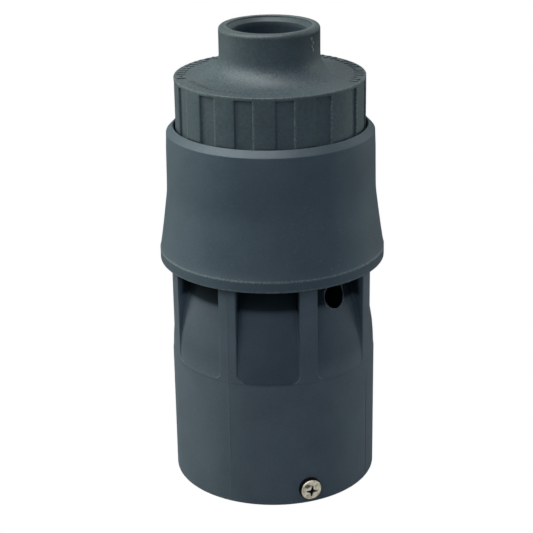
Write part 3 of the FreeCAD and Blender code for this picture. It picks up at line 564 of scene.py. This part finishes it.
# ---- cap ----------------------------------------------------------------------------------------
def panel_columns(share):
    """(azimuth, depth, painted highlight) round one panel and half a land each side; share fades the
    recess out.
    """
    edge = PANEL_EDGE / CAP_R
    depth = PANEL_DEPTH * share
    half = [(0.0, depth, 0.0), (PANEL_HALF * 0.35, depth, 0.0), (PANEL_HALF * 0.7, depth, 0.0)]
    for step in range(PANEL_ARC_STEPS + 1):
        turn = math.radians(90 * step / PANEL_ARC_STEPS)
        half.append((PANEL_HALF - edge + edge * math.sin(turn),
                     depth - depth * PANEL_FOOT * (1 - math.cos(turn)), 0.0))
    # the edge towards growing azimuth gets a painted highlight; the mirrored edge gets none
    for step in range(PANEL_ARC_STEPS + 1):
        turn = math.radians(90 * step / PANEL_ARC_STEPS)
        painted_edge_highlight = share if step < PANEL_ARC_STEPS else share * PANEL_END_HIGHLIGHT
        half.append((PANEL_HALF + PANEL_GAP + edge * (1 - math.cos(turn)),
                     depth * PANEL_CREST * (1 - math.sin(turn)), painted_edge_highlight))
    last = half[-1][0]
    rest = PANEL_PITCH / 2 - last
    half += [(last + rest * step / LAND_STEPS, 0.0, 0.0) for step in range(1, LAND_STEPS + 1)]
    mirror = [(-azimuth, drop, 0.0) for azimuth, drop, wear_and_painted_light in half[1:-1]]
    return mirror[::-1] + half


def cap_row(radius, z, share=0.0, wear_and_painted_light=0.0, light_patches=()):
    """One ring of the cap; share is the depth of the panels, and each of the light_patches is painted
    light given as (value, azimuth, spread).
    """
    ring = []
    for panel in range(PANELS):
        for offset, drop, edge_painted_light in panel_columns(share):
            azimuth = PANEL_AZIMUTH + panel * PANEL_PITCH + offset
            total = max(wear_and_painted_light, edge_painted_light) if wear_and_painted_light >= 0 else wear_and_painted_light
            for amount, middle, spread in light_patches:
                away = (1 - math.cos(azimuth - middle)) / (1 - math.cos(spread))
                total += amount * math.exp(-PAINTED_LIGHT_FALL * away)
            ring.append((at(radius - drop, azimuth, z), total))
    return ring


def cap_painted_light(radius, z):
    """Painted highlight and shade round the neck's foot, painted shade on one side of the neck, and
    painted light on the ledge: darker at the front, paler at the sides.
    """
    light_patches = ()
    rise = (z - LEDGE_Z) / NECK_FILLET
    if z > LEDGE_Z and NECK_R < radius < NECK_R + NECK_FILLET:
        foot_light = sum(amount * bell(rise, middle, width) for amount, middle, width in FOOT_PAINTED_LIGHT)
        light_patches = ((foot_light, FOOT_HIGHLIGHT_AZIMUTH, PAINTED_LIGHT_SPREAD), (NECK_PAINTED_SHADE * rise, NECK_SHADE, PAINTED_LIGHT_SPREAD))
    elif z > LEDGE_Z and abs(radius - NECK_R) < SAME:
        light_patches = ((NECK_PAINTED_SHADE, NECK_SHADE, PAINTED_LIGHT_SPREAD),)
    if z > LEDGE_Z + 0.01 * MM and radius > LEDGE_START:
        light_patches += LEDGE_PAINTED_LIGHT
    return light_patches


def build_cap():
    """Screw cap: grip ring with recessed panels, ledge, neck and conduit socket."""
    low = CAP_LOW.z
    rows = [cap_row(CAP_THREAD_R, low), cap_row(CAP_R, low)]
    rows += [cap_row(CAP_R, PANEL_BOTTOM), cap_row(CAP_R, PANEL_BOTTOM + 0.5 * MM, 1.0)]
    rows += [cap_row(CAP_R, z * MM, 1.0) for z in PANEL_ROWS]
    for step in range(PANEL_FADE_STEPS + 1):
        share = step / PANEL_FADE_STEPS
        rows.append(cap_row(CAP_R, PANEL_FADE_START + PANEL_FADE * share, 1 - smooth_step(share)))
    corners = [     # (radius, z, rounding, wear)
        (CAP_R, PANEL_TOP + 0.3 * MM, 0, 0.0), (CAP_R, LEDGE_Z, LEDGE_ROUND, LEDGE_WEAR_AND_HIGHLIGHT),
        (LEDGE_R, LEDGE_Z + 0.03 * MM, 0, 0.0), (NECK_R, LEDGE_Z + 0.35 * MM, NECK_FILLET, 0.0),
        # the rim and the mouth's inner edge are pale from rubbing and painted as highlights; the line
        # under the mouth, the bevel and the bore get painted shade
        (NECK_R, CAP_HIGH.z, RIM_ROUND, 0.22), (SOCKET_MOUTH_R + 0.1 * MM, CAP_HIGH.z, 0.15 * MM, 0.8),
        (SOCKET_MOUTH_R + 0.05 * MM, CAP_HIGH.z - 0.5 * MM, 0, -0.5),
        (SOCKET_MOUTH_R - 0.15 * MM, CAP_HIGH.z - 0.55 * MM, 0, 0.0),
        (SOCKET_R, SOCKET_TOP, 0.3 * MM, -0.1), (SOCKET_R, SOCKET_TOP - 1.5 * MM, 0, -0.55),
        (SOCKET_R, SOCKET_STOP, 0, -0.85), (STOP_R, SOCKET_STOP, 0.2 * MM, 0.0),
        (STOP_R, STOP_UNDER, 0, 0.0), (STOP_OUTER_R, STOP_UNDER, 0, 0.0),
        (STOP_OUTER_R, LEDGE_UNDER, 0, 0.0), (CAP_ROOM_R, LEDGE_UNDER, 0, 0.0),
        (CAP_ROOM_R, CAP_THREAD_TOP + 1 * MM, 0, 0.0), (CAP_THREAD_R, CAP_THREAD_TOP, 0, 0.0),
        (CAP_THREAD_R, low + 0.5 * MM, 0, 0.0),
    ]
    for radius, z, wear_and_painted_light in rounded(corners, CAP_ARC_STEPS):
        rows.append(cap_row(radius, z, 0.0, wear_and_painted_light, cap_painted_light(radius, z)))
    return tidy(loft("ribbed_cap_moulding", rows))


class Blocks:
    """Low raised blocks with sloping sides, gathered for one mesh."""

    def __init__(self):
        self.points = []
        self.faces = []
        self.wear_and_painted_light = []

    def add(self, middle, out, along, half_length, half_width, height, top_highlight_and_wear=0.25, foot_shadow_and_wear=-0.8):
        """Adds one block; out points from its foot to its top, and along is its lengthwise direction."""
        across = out.cross(along)
        start = len(self.points)
        slope = min(half_length, half_width) * 0.45
        for lift, inset in ((MARK_SUNK, 0.0), (height * 0.5, 0.0), (height, slope)):
            for a, b in ((-1, -1), (1, -1), (1, 1), (-1, 1)):
                spot = (middle + along * a * (half_length - inset) + across * b * (half_width - inset)
                        + out * lift)
                self.points.append(tuple(spot))
                # by default the top gets a painted highlight and the foot a painted shadow
                self.wear_and_painted_light.append(top_highlight_and_wear if inset else foot_shadow_and_wear)
        self.faces.append((start + 3, start + 2, start + 1, start))
        for face in ring_faces(3, 4):
            self.faces.append(tuple(start + corner for corner in face))
        self.faces.append((start + 8, start + 9, start + 10, start + 11))


def build_marks():
    """Plain raised dashes and dots round the ledge and on the neck, in place of any lettering."""
    pick = random.Random(7)
    blocks = Blocks()
    up = Vector((0, 0, 1))
    for first, last, radius, size in MARK_ARCS:
        stroke = size * STROKE_HALF
        dot = size * DOT_HALF
        height = MARK_HEIGHT * size / MM
        count = int(math.radians(last - first) * radius / size)
        for index in range(count + 1):
            out = Vector(at(1, math.radians(first + (last - first) * index / count), 0))
            side = up.cross(out)
            middle = out * radius + up * LEDGE_Z
            kind = pick.choice(("bar", "bar", "dots", "dash"))
            if kind == "bar":
                blocks.add(middle, up, out, size * BAR_HALF, stroke, height)
            if kind == "dash":
                shift = pick.choice(DASH_SHIFTS)
                blocks.add(middle + out * size * shift, up, side, size * DASH_HALF, stroke, height)
            if kind == "dots":
                for shift in DOT_SHIFTS:
                    blocks.add(middle + out * size * shift, up, out, dot, dot, height)
    for azimuth, z in NECK_DOTS:
        out = Vector(at(1, math.radians(azimuth), 0))
        blocks.add(out * NECK_R + up * z * MM, out, up, *NECK_DOT_SIZE, NECK_DOT_WEAR, NECK_DOT_WEAR)
    return tidy(mesh_object("ledge_marks", blocks.points, blocks.faces, blocks.wear_and_painted_light), 40)


# ---- locking screw ------------------------------------------------------------------------------
def head_crown(radius):
    """Distance of the domed face from the axis of the body, without its recess."""
    share = radius / LOCK_FACE_R
    dome = math.sqrt(max(0.0, 1 - share ** LOCK_CROWN_POWER))
    return BASE_R + LOCK_CROWN * (LOCK_CROWN_EDGE + (1 - LOCK_CROWN_EDGE) * dome)


def head_recess(across, along):
    """Depth of the star-shaped cross at a spot on the head."""
    best = 0.0
    for a, b in ((across, along), (along, across)):
        inward = max(0.0, 1 - abs(b) / CROSS_REACH)
        width = (CROSS_WIDTH[0] + CROSS_WIDTH[1] * inward ** CROSS_POWER) * MM
        side = smooth_step((width + CROSS_BLUR - abs(a)) / (2 * CROSS_BLUR))
        best = max(best, side * smooth_step(inward / CROSS_TIP))
    return CROSS_DEPTH * best


def head_dent(x, y):
    """Share of the small dent that a slipped driver left."""
    reach = math.hypot((x - DENT_AT[0]) / DENT_SIZE[0], (y - DENT_AT[1]) / DENT_SIZE[1])
    return smooth_step((1 - reach) / DENT_SLOPE)


def build_locking_screw():
    """Pan-head machine screw with a cross recess, its axis pointing outwards."""
    points, faces, wear_and_painted_light = [], [], []
    tip = COLLAR_BORE_R + 0.1 * MM
    profile = [
        (0.35 * MM, tip), (LOCK_POINT_R, tip), (LOCK_SHANK_R, COLLAR_BORE_R + 0.4 * MM),
        (LOCK_SHANK_R, BASE_R), (LOCK_HEAD_R, BASE_R), (LOCK_HEAD_R, BASE_R + LOCK_EDGE),
        (LOCK_FACE_R + 0.06 * MM, head_crown(LOCK_FACE_R))]
    turns = [2 * math.pi * spoke / LOCK_SPOKES for spoke in range(LOCK_SPOKES)]
    # the shank, the head's flank and the face's edge are painted black, as shade and as the painted
    # reflection of dark plastic
    for radius, distance in profile:
        for turn in turns:
            points.append((radius * math.cos(turn), radius * math.sin(turn), distance))
            wear_and_painted_light.append(1.0)
    for ring in range(LOCK_RINGS):
        radius = LOCK_FACE_R * (1 - (ring / LOCK_RINGS))
        for turn in turns:
            x, y = radius * math.cos(turn), radius * math.sin(turn)
            off_x, off_y = x - CROSS_OFF[0], y - CROSS_OFF[1]
            across = off_x * math.cos(LOCK_TURN) + off_y * math.sin(LOCK_TURN)
            along = off_y * math.cos(LOCK_TURN) - off_x * math.sin(LOCK_TURN)
            sunk = head_recess(across, along)
            dent = head_dent(x, y)
            points.append((x, y, head_crown(radius) - sunk - dent * DENT_DEPTH))
            # painted shade: black in the recess and round the face's edge, darker in the dent
            rim = 1.0 if ring == 0 else 0.0
            wear_and_painted_light.append(max(min(1.0, sunk / CROSS_DARK), dent * DENT_SHADE, rim))
    rows = len(profile) + LOCK_RINGS
    faces = ring_faces(rows, LOCK_SPOKES)
    faces.append(tuple(range(LOCK_SPOKES)))
    centre = len(points)
    points.append((0, 0, head_crown(0) - head_recess(0, 0)))
    wear_and_painted_light.append(1.0)
    inner = (rows - 1) * LOCK_SPOKES
    for spoke in range(LOCK_SPOKES):
        faces.append((inner + spoke, inner + (spoke + 1) % LOCK_SPOKES, centre))
    screw = mesh_object("locking_screw_turned", points, faces, wear_and_painted_light)
    place = (Matrix.Translation((0, 0, LOCK_Z)) @ Matrix.Rotation(LOCK_AZIMUTH, 4, "Z")
             @ Matrix.Rotation(math.radians(90), 4, "X"))
    screw.data.transform(place)
    return tidy(screw, 35)


# ---- materials ----------------------------------------------------------------------------------
DUST_TONE = (0.86, 0.92, 0.88)
WEAR_AND_HIGHLIGHT_TONE = (0.74, 0.93, 0.90)
# tones of the painted shade and of the painted black shadow
PAINTED_SHADE_TONE = (0.0, 0.036, 0.085)
PAINTED_SHADOW_TONE = (0.0, 0.010, 0.012)
WHITE = (1.0, 1.0, 1.0)
BLACK = (0.0, 0.0, 0.0)


class Nodes:
    """Short hand for building a node tree."""

    def __init__(self, name):
        self.material = bpy.data.materials.new(name)
        self.material.use_nodes = True
        self.tree = self.material.node_tree
        self.surface = self.tree.nodes["Principled BSDF"]
        coordinates = self.tree.nodes.new("ShaderNodeTexCoord")
        self.place = coordinates.outputs["Object"]

    def link(self, source, target):
        self.tree.links.new(source, target)

    def noise(self, size_mm, detail=4.0, rough=0.55, stretch=(1, 1, 1)):
        """Noise whose features are about size_mm across."""
        mapping = self.tree.nodes.new("ShaderNodeMapping")
        mapping.inputs["Scale"].default_value = [1 / (size_mm * MM * part) for part in stretch]
        self.link(self.place, mapping.inputs["Vector"])
        texture = self.tree.nodes.new("ShaderNodeTexNoise")
        texture.inputs["Scale"].default_value = 1.0
        texture.inputs["Detail"].default_value = detail
        texture.inputs["Roughness"].default_value = rough
        self.link(mapping.outputs["Vector"], texture.inputs["Vector"])
        return texture.outputs["Fac"]

    def ramp(self, source, low, high, start=0.0, end=1.0):
        """Maps source from low..high to start..end, clamped."""
        node = self.tree.nodes.new("ShaderNodeMapRange")
        node.inputs["From Min"].default_value = low
        node.inputs["From Max"].default_value = high
        node.inputs["To Min"].default_value = start
        node.inputs["To Max"].default_value = end
        self.link(source, node.inputs["Value"])
        return node.outputs["Result"]

    def math(self, operation, first, second):
        node = self.tree.nodes.new("ShaderNodeMath")
        node.operation = operation
        for socket, value in zip(node.inputs, (first, second)):
            if isinstance(value, (int, float)):
                socket.default_value = value
            else:
                self.link(value, socket)
        return node.outputs["Value"]

    def times(self, first, second):
        return self.math("MULTIPLY", first, second)

    def mix(self, share, first, second):
        """Mixes two colours by a share between 0 and 1; each colour is a socket or an (r, g, b)."""
        node = self.tree.nodes.new("ShaderNodeMix")
        node.data_type = "RGBA"
        colours = [socket for socket in node.inputs if socket.type == "RGBA"]
        self.link(share, node.inputs["Factor"])
        for socket, value in zip(colours, (first, second)):
            if isinstance(value, tuple):
                socket.default_value = (*value, 1.0)
            else:
                self.link(value, socket)
        return next(socket for socket in node.outputs if socket.type == "RGBA")

    def openness(self, reach_mm, closed, open_, darkest):
        """1 in the open, down to darkest where neighbouring surfaces close in within the reach."""
        node = self.tree.nodes.new("ShaderNodeAmbientOcclusion")
        node.samples = 12
        node.inputs["Distance"].default_value = reach_mm * MM
        return self.ramp(node.outputs["AO"], closed, open_, darkest, 1.0)

    def height(self, start_mm, end_mm, start=0.0, end=1.0):
        """Goes from start to end between two heights; the first height may be the upper one."""
        parts = self.tree.nodes.new("ShaderNodeSeparateXYZ")
        self.link(self.place, parts.inputs[0])
        return self.ramp(parts.outputs["Z"], start_mm * MM, end_mm * MM, start, end)

    def attribute(self, name):
        node = self.tree.nodes.new("ShaderNodeAttribute")
        node.attribute_name = name
        return node.outputs["Fac"]

    def bump(self, height, depth_mm, strength=1.0):
        node = self.tree.nodes.new("ShaderNodeBump")
        node.inputs["Distance"].default_value = depth_mm * MM
        node.inputs["Strength"].default_value = strength
        self.link(height, node.inputs["Height"])
        return node.outputs["Normal"]

    def set(self, name, value):
        socket = self.surface.inputs[name]
        if isinstance(value, (int, float)):
            socket.default_value = value
        else:
            self.link(value, socket)


def uneven_tone(kit, grain_mm, mottle, upper):
    """Cloudy, sandy tone round 1; upper is the extra mottle between the ledge and the neck's middle."""
    cloud = kit.ramp(kit.noise(16.0, 3.0), 0.35, 0.65, 0.93, 1.07)
    sand = kit.ramp(kit.noise(grain_mm * 1.3, 3.0, 0.65), 0.34, 0.66, 1 - mottle, 1 + mottle)
    level = kit.times(cloud, sand)
    if upper:
        flecks = kit.ramp(kit.noise(0.6, 3.0, 0.7), 0.34, 0.66, -upper, upper)
        above = kit.times(kit.height(PANEL_TOP / MM, LEDGE_Z / MM), kit.height(151.5, 148.0))
        level = kit.times(level, kit.math("ADD", 1.0, kit.times(flecks, above)))
        level = kit.times(level, kit.height(147.0, 151.0, 1.0, 0.82))
    return level


def housing_plastic(name, colour, roughness, grain_mm, grain_depth, mottle, hollow_shade, upper=0.0):
    """Moulded plastic: uneven tone, dust specks, rubbed edges and painted highlights, painted shade in
    pockets and holes, and painted shade in the hollows.

    hollow_shade holds the reach in mm, the closed and open limits and the darkest tone of the painted
    shade in the hollows."""
    kit = Nodes(name)
    grain = kit.noise(grain_mm, 3.0, 0.6)
    level = uneven_tone(kit, grain_mm, mottle, upper)
    # painted shade where surfaces close in, from the pockets' lower end up
    shut = kit.math("SUBTRACT", 1.0, kit.openness(*hollow_shade))
    hollow_shade_share = kit.times(shut, kit.height(FLOOR_BOTTOM / MM, POCKET_BOTTOM / MM + 1))
    level = kit.times(level, kit.math("SUBTRACT", 1.0, hollow_shade_share))
    tone = kit.mix(kit.times(level, 0.5), BLACK, tuple(channel * 2 for channel in colour))
    specks = kit.ramp(kit.noise(0.5, 1.0, 0.4), 0.715, 0.76)
    patch = kit.ramp(kit.noise(9.0, 2.0), 0.40, 0.60)
    tone = kit.mix(kit.times(kit.times(specks, patch), 0.30), tone, DUST_TONE)
    wear_and_painted_light = kit.attribute("wear_and_painted_light")
    # painted shade below zero, down to a painted black shadow
    shadow = kit.mix(kit.ramp(wear_and_painted_light, -0.55, -0.95), PAINTED_SHADE_TONE, PAINTED_SHADOW_TONE)
    tone = kit.mix(kit.ramp(wear_and_painted_light, 0.0, -1.0), tone, shadow)
    # pale above zero: rubbed edges and painted highlights
    rub = kit.ramp(kit.noise(0.65, 3.0, 0.7), 0.40, 0.62, 0.15, 1.2)
    wear_and_highlight = kit.times(kit.ramp(wear_and_painted_light, 0.0, 1.0), rub)
    kit.set("Base Color", kit.mix(kit.times(wear_and_highlight, 0.5), tone, WEAR_AND_HIGHLIGHT_TONE))
    kit.set("Roughness", kit.ramp(kit.noise(4.0, 4.0), 0.3, 0.7, roughness - 0.05, roughness + 0.05))
    kit.set("IOR", 1.5)
    # the painted black shadow also loses most of its reflection
    kit.set("Specular IOR Level", kit.ramp(wear_and_painted_light, -1.0, -0.4, 0.04, 0.5))
    kit.set("Normal", kit.bump(grain, grain_depth))
    return kit.material


def screw_steel():
    """Stained stainless, painted black in its recess and on its flank, with a little glow that paints its
    reflection of a pale room.
    """
    kit = Nodes("screw_stainless")
    stain = kit.ramp(kit.noise(1.3, 4.0, 0.65), 0.38, 0.64)
    face = kit.mix(stain, (0.58, 0.55, 0.45), (0.27, 0.25, 0.20))
    # painted shade and painted reflection: black where the value is high
    face = kit.mix(kit.attribute("wear_and_painted_light"), face, (0.004, 0.004, 0.005))
    kit.set("Base Color", face)
    kit.set("Metallic", 1.0)
    kit.set("Roughness", kit.ramp(kit.noise(0.25, 3.0), 0.3, 0.7, 0.28, 0.42))
    # glow as a painted reflection of a pale room
    kit.set("Emission Color", face)
    kit.set("Emission Strength", 0.72)
    kit.set("Normal", kit.bump(kit.noise(0.3, 3.0), 0.02, 0.6))
    return kit.material


def brushed_metal(name, colour, dark, roughness):
    """Metal with fine upright lines and darker stains."""
    kit = Nodes(name)
    lines = kit.noise(0.12, 3.0, 0.6, stretch=(1, 1, 30))
    stain = kit.ramp(kit.noise(2.5, 3.0), 0.35, 0.7)
    kit.set("Base Color", kit.mix(kit.times(stain, 0.5), colour, dark))
    kit.set("Metallic", 1.0)
    kit.set("Roughness", kit.ramp(lines, 0.2, 0.8, roughness - 0.08, roughness + 0.12))
    kit.set("Normal", kit.bump(lines, 0.01, 0.5))
    return kit.material


def moulded(name, colour, light, roughness):
    """Rubber, plastic or paint with a cloudy tone and a fine grain."""
    kit = Nodes(name)
    grain = kit.noise(0.5, 3.0)
    kit.set("Base Color", kit.mix(kit.ramp(kit.noise(5.0, 3.0), 0.3, 0.7), colour, light))
    kit.set("Roughness", kit.ramp(grain, 0.3, 0.7, roughness - 0.05, roughness + 0.05))
    kit.set("Normal", kit.bump(grain, 0.01))
    return kit.material


# the last tuple of each housing plastic sets its painted shade in the hollows
MATERIALS = {
    "skirt": housing_plastic("satin_housing_plastic", (0.185, 0.296, 0.385), 0.55, 0.5, 0.010, 0.06,
                             (2.5, 0.35, 0.9, 0.35)),
    "body": housing_plastic("body_housing_plastic", (0.255, 0.362, 0.458), 0.55, 0.5, 0.010, 0.06,
                            (6.0, 0.30, 0.80, 0.25)),
    "cap": housing_plastic("grained_housing_plastic", (0.196, 0.302, 0.356), 0.56, 0.75, 0.055, 0.11,
                           (1.5, 0.40, 0.80, 0.22), upper=0.36),
    "screw": screw_steel(),
    "stainless": brushed_metal("stainless_steel", (0.62, 0.58, 0.52), (0.40, 0.37, 0.33), 0.26),
    "steel": brushed_metal("plated_steel", (0.52, 0.53, 0.55), (0.36, 0.37, 0.39), 0.34),
    "brass": brushed_metal("turned_brass", (0.72, 0.55, 0.25), (0.50, 0.36, 0.14), 0.30),
    "bronze": brushed_metal("sintered_bronze", (0.55, 0.36, 0.20), (0.36, 0.22, 0.11), 0.45),
    "rubber": moulded("black_rubber", (0.012, 0.012, 0.013), (0.03, 0.03, 0.032), 0.7),
    "acetal": moulded("natural_acetal", (0.74, 0.73, 0.67), (0.82, 0.81, 0.76), 0.4),
    "ferrite": moulded("ferrite", (0.04, 0.04, 0.045), (0.08, 0.08, 0.085), 0.55),
    "coil_tape": moulded("coil_tape", (0.55, 0.29, 0.04), (0.68, 0.42, 0.09), 0.35),
    "board": moulded("board_green", (0.015, 0.13, 0.05), (0.025, 0.18, 0.08), 0.3),
    "terminal": moulded("terminal_green", (0.04, 0.20, 0.09), (0.06, 0.26, 0.12), 0.4),
    "insulation": moulded("blue_insulation", (0.04, 0.09, 0.33), (0.06, 0.13, 0.42), 0.4),
    "capacitor": moulded("brown_epoxy", (0.30, 0.07, 0.025), (0.40, 0.11, 0.04), 0.3),
}


# ---- pieces on their bodies ---------------------------------------------------------------------
def paint(piece, material):
    piece.data.materials.clear()
    piece.data.materials.append(material)


def finish_piece(piece, node, body, material):
    """Paints a new piece and ties it to its body; it stands for the CAD node, if it has one."""
    paint(piece, MATERIALS[material])
    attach(piece, body)
    if node:
        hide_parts(node)


finish_piece(build_body(), "lower_body", "base", "body")
finish_piece(build_skirt(), "drip_skirt", "base", "skirt")
finish_piece(build_cap(), "ribbed_cap", "cap", "cap")
finish_piece(build_marks(), None, "cap", "cap")
finish_piece(build_locking_screw(), "locking_screw", "lock_screw", "screw")

for entry in frame["record"]["subparts"]:
    if entry["material_slot"] in MATERIALS:
        paint(frame["nodes"][entry["node"]], MATERIALS[entry["material_slot"]])


# ---- stage --------------------------------------------------------------------------------------
FLOOR_HALF = 3.0
STUDIO_TONE = (0.9, 0.95, 1.0, 1)
STUDIO_STRENGTH = 0.004

WARM = (1.0, 0.96, 0.86)
COOL = (0.95, 0.99, 1.10)
LIGHT_TARGET = Vector((0, 0, 0.08))
LIGHT_DISTANCE = 0.9
LIGHTS = (      # name, azimuth, elevation, width, height, power, colour, seen in the sheen only
    ("left_low", -90, 30, 0.5, 0.7, 0.46, WARM, False),
    ("left", -90, 45, 0.5, 0.7, 1.10, WARM, False),
    ("left_behind", -112, 18, 0.4, 0.8, 1.72, WARM, False),
    ("left_front", -30, 43, 0.25, 0.25, 0.42, WHITE, False),
    ("front", 10, 20, 0.5, 0.5, 0.40, COOL, False),
    ("right_front", 45, 20, 0.4, 0.6, 0.11, COOL, False),
    ("right", 90, 10, 0.3, 0.7, 0.28, WARM, False),
    ("right_edge", 116, 12, 0.3, 0.8, 1.60, WARM, False),
    ("right_behind", 140, 40, 0.6, 0.6, 0.50, WHITE, False),
    ("behind", 180, 25, 0.9, 0.5, 0.60, WHITE, False),
    ("above_sheen", 0, 88, 0.3, 0.3, 5.0, WHITE, True),
    ("front_above_sheen", -25, 68, 0.4, 0.4, 0.90, WHITE, True),
    ("left_front_sheen", -50, 50, 0.5, 0.7, 3.00, WHITE, True),
    ("left_sheen", -70, 45, 0.5, 0.7, 3.30, WARM, True),
)

CAMERA_DISTANCE = 495.7 * MM
CAMERA_HEIGHT = 266.3 * MM
CAMERA_PITCH = 0.36893          # 21 degrees down
CAMERA_YAW = -0.003912
CAMERA_ROLL = 0.013909          # the subject leans by 0.8 degrees
CAMERA_LENS = 102.9             # focal length in mm


def floor_material():
    """White to the camera, with no horizon; dark to the object, so that no light comes up from it."""
    kit = Nodes("pale_floor")
    patches = kit.ramp(kit.noise(60.0, 2.0), 0.4, 0.6)
    kit.set("Base Color", kit.mix(patches, (0.11, 0.11, 0.11), (0.13, 0.13, 0.13)))
    kit.set("Roughness", 0.9)
    glow = kit.tree.nodes.new("ShaderNodeEmission")
    glow.inputs["Color"].default_value = (*WHITE, 1)
    glow.inputs["Strength"].default_value = 1.0
    path = kit.tree.nodes.new("ShaderNodeLightPath")
    chooser = kit.tree.nodes.new("ShaderNodeMixShader")
    output = kit.tree.nodes["Material Output"]
    kit.link(path.outputs["Is Camera Ray"], chooser.inputs[0])
    kit.link(kit.surface.outputs[0], chooser.inputs[1])
    kit.link(glow.outputs[0], chooser.inputs[2])
    kit.link(chooser.outputs[0], output.inputs["Surface"])
    return kit.material


def build_floor():
    corners = [(a * FLOOR_HALF, b * FLOOR_HALF, 0) for a, b in ((-1, -1), (1, -1), (1, 1), (-1, 1))]
    floor = mesh_object("floor", corners, [(0, 1, 2, 3)])
    paint(floor, floor_material())


def build_world():
    """Dim studio for reflections, plain white where the camera sees it."""
    world = bpy.data.worlds.new("studio")
    bpy.context.scene.world = world
    world.use_nodes = True
    tree = world.node_tree
    tree.nodes.clear()
    output = tree.nodes.new("ShaderNodeOutputWorld")
    dim = tree.nodes.new("ShaderNodeBackground")
    dim.inputs["Color"].default_value = STUDIO_TONE
    dim.inputs["Strength"].default_value = STUDIO_STRENGTH
    white = tree.nodes.new("ShaderNodeBackground")
    white.inputs["Color"].default_value = (*WHITE, 1)
    white.inputs["Strength"].default_value = 1.0
    path = tree.nodes.new("ShaderNodeLightPath")
    chooser = tree.nodes.new("ShaderNodeMixShader")
    tree.links.new(path.outputs["Is Camera Ray"], chooser.inputs[0])
    tree.links.new(dim.outputs[0], chooser.inputs[1])
    tree.links.new(white.outputs[0], chooser.inputs[2])
    tree.links.new(chooser.outputs[0], output.inputs["Surface"])


def area_light(name, azimuth, elevation, width, height, power, colour, sheen_only):
    """Rectangular light that faces the middle of the object; the angles are in degrees."""
    data = bpy.data.lights.new(name, "AREA")
    data.shape = "RECTANGLE"
    data.size = width
    data.size_y = height
    data.energy = power
    data.color = colour
    light = bpy.data.objects.new(name, data)
    bpy.context.scene.collection.objects.link(light)
    level = math.cos(math.radians(elevation))
    away = Vector(at(level, math.radians(azimuth), math.sin(math.radians(elevation))))
    light.location = LIGHT_TARGET + away * LIGHT_DISTANCE
    light.rotation_mode = "QUATERNION"
    light.rotation_quaternion = away.to_track_quat("Z", "Y")
    light.visible_diffuse = not sheen_only


def build_camera():
    """Long lens a little above the object, at the viewing angle of the subject."""
    forward = Vector((0, math.cos(CAMERA_PITCH), -math.sin(CAMERA_PITCH)))
    right = Vector((1, 0, 0))
    down = Vector((0, -math.sin(CAMERA_PITCH), -math.cos(CAMERA_PITCH)))
    forward, right = (forward * math.cos(CAMERA_YAW) + right * math.sin(CAMERA_YAW),
                      right * math.cos(CAMERA_YAW) - forward * math.sin(CAMERA_YAW))
    right, down = (right * math.cos(CAMERA_ROLL) + down * math.sin(CAMERA_ROLL),
                   down * math.cos(CAMERA_ROLL) - right * math.sin(CAMERA_ROLL))
    data = bpy.data.cameras.new("camera")
    data.lens = CAMERA_LENS
    data.clip_start = 0.01
    camera = bpy.data.objects.new("camera", data)
    bpy.context.scene.collection.objects.link(camera)
    turn = Matrix((right, -down, -forward)).transposed().to_4x4()
    camera.matrix_world = Matrix.Translation((0, -CAMERA_DISTANCE, CAMERA_HEIGHT)) @ turn
    bpy.context.scene.camera = camera


build_floor()
build_world()
for light in LIGHTS:
    area_light(*light)
build_camera()
bpy.context.scene.view_settings.view_transform = "Standard"
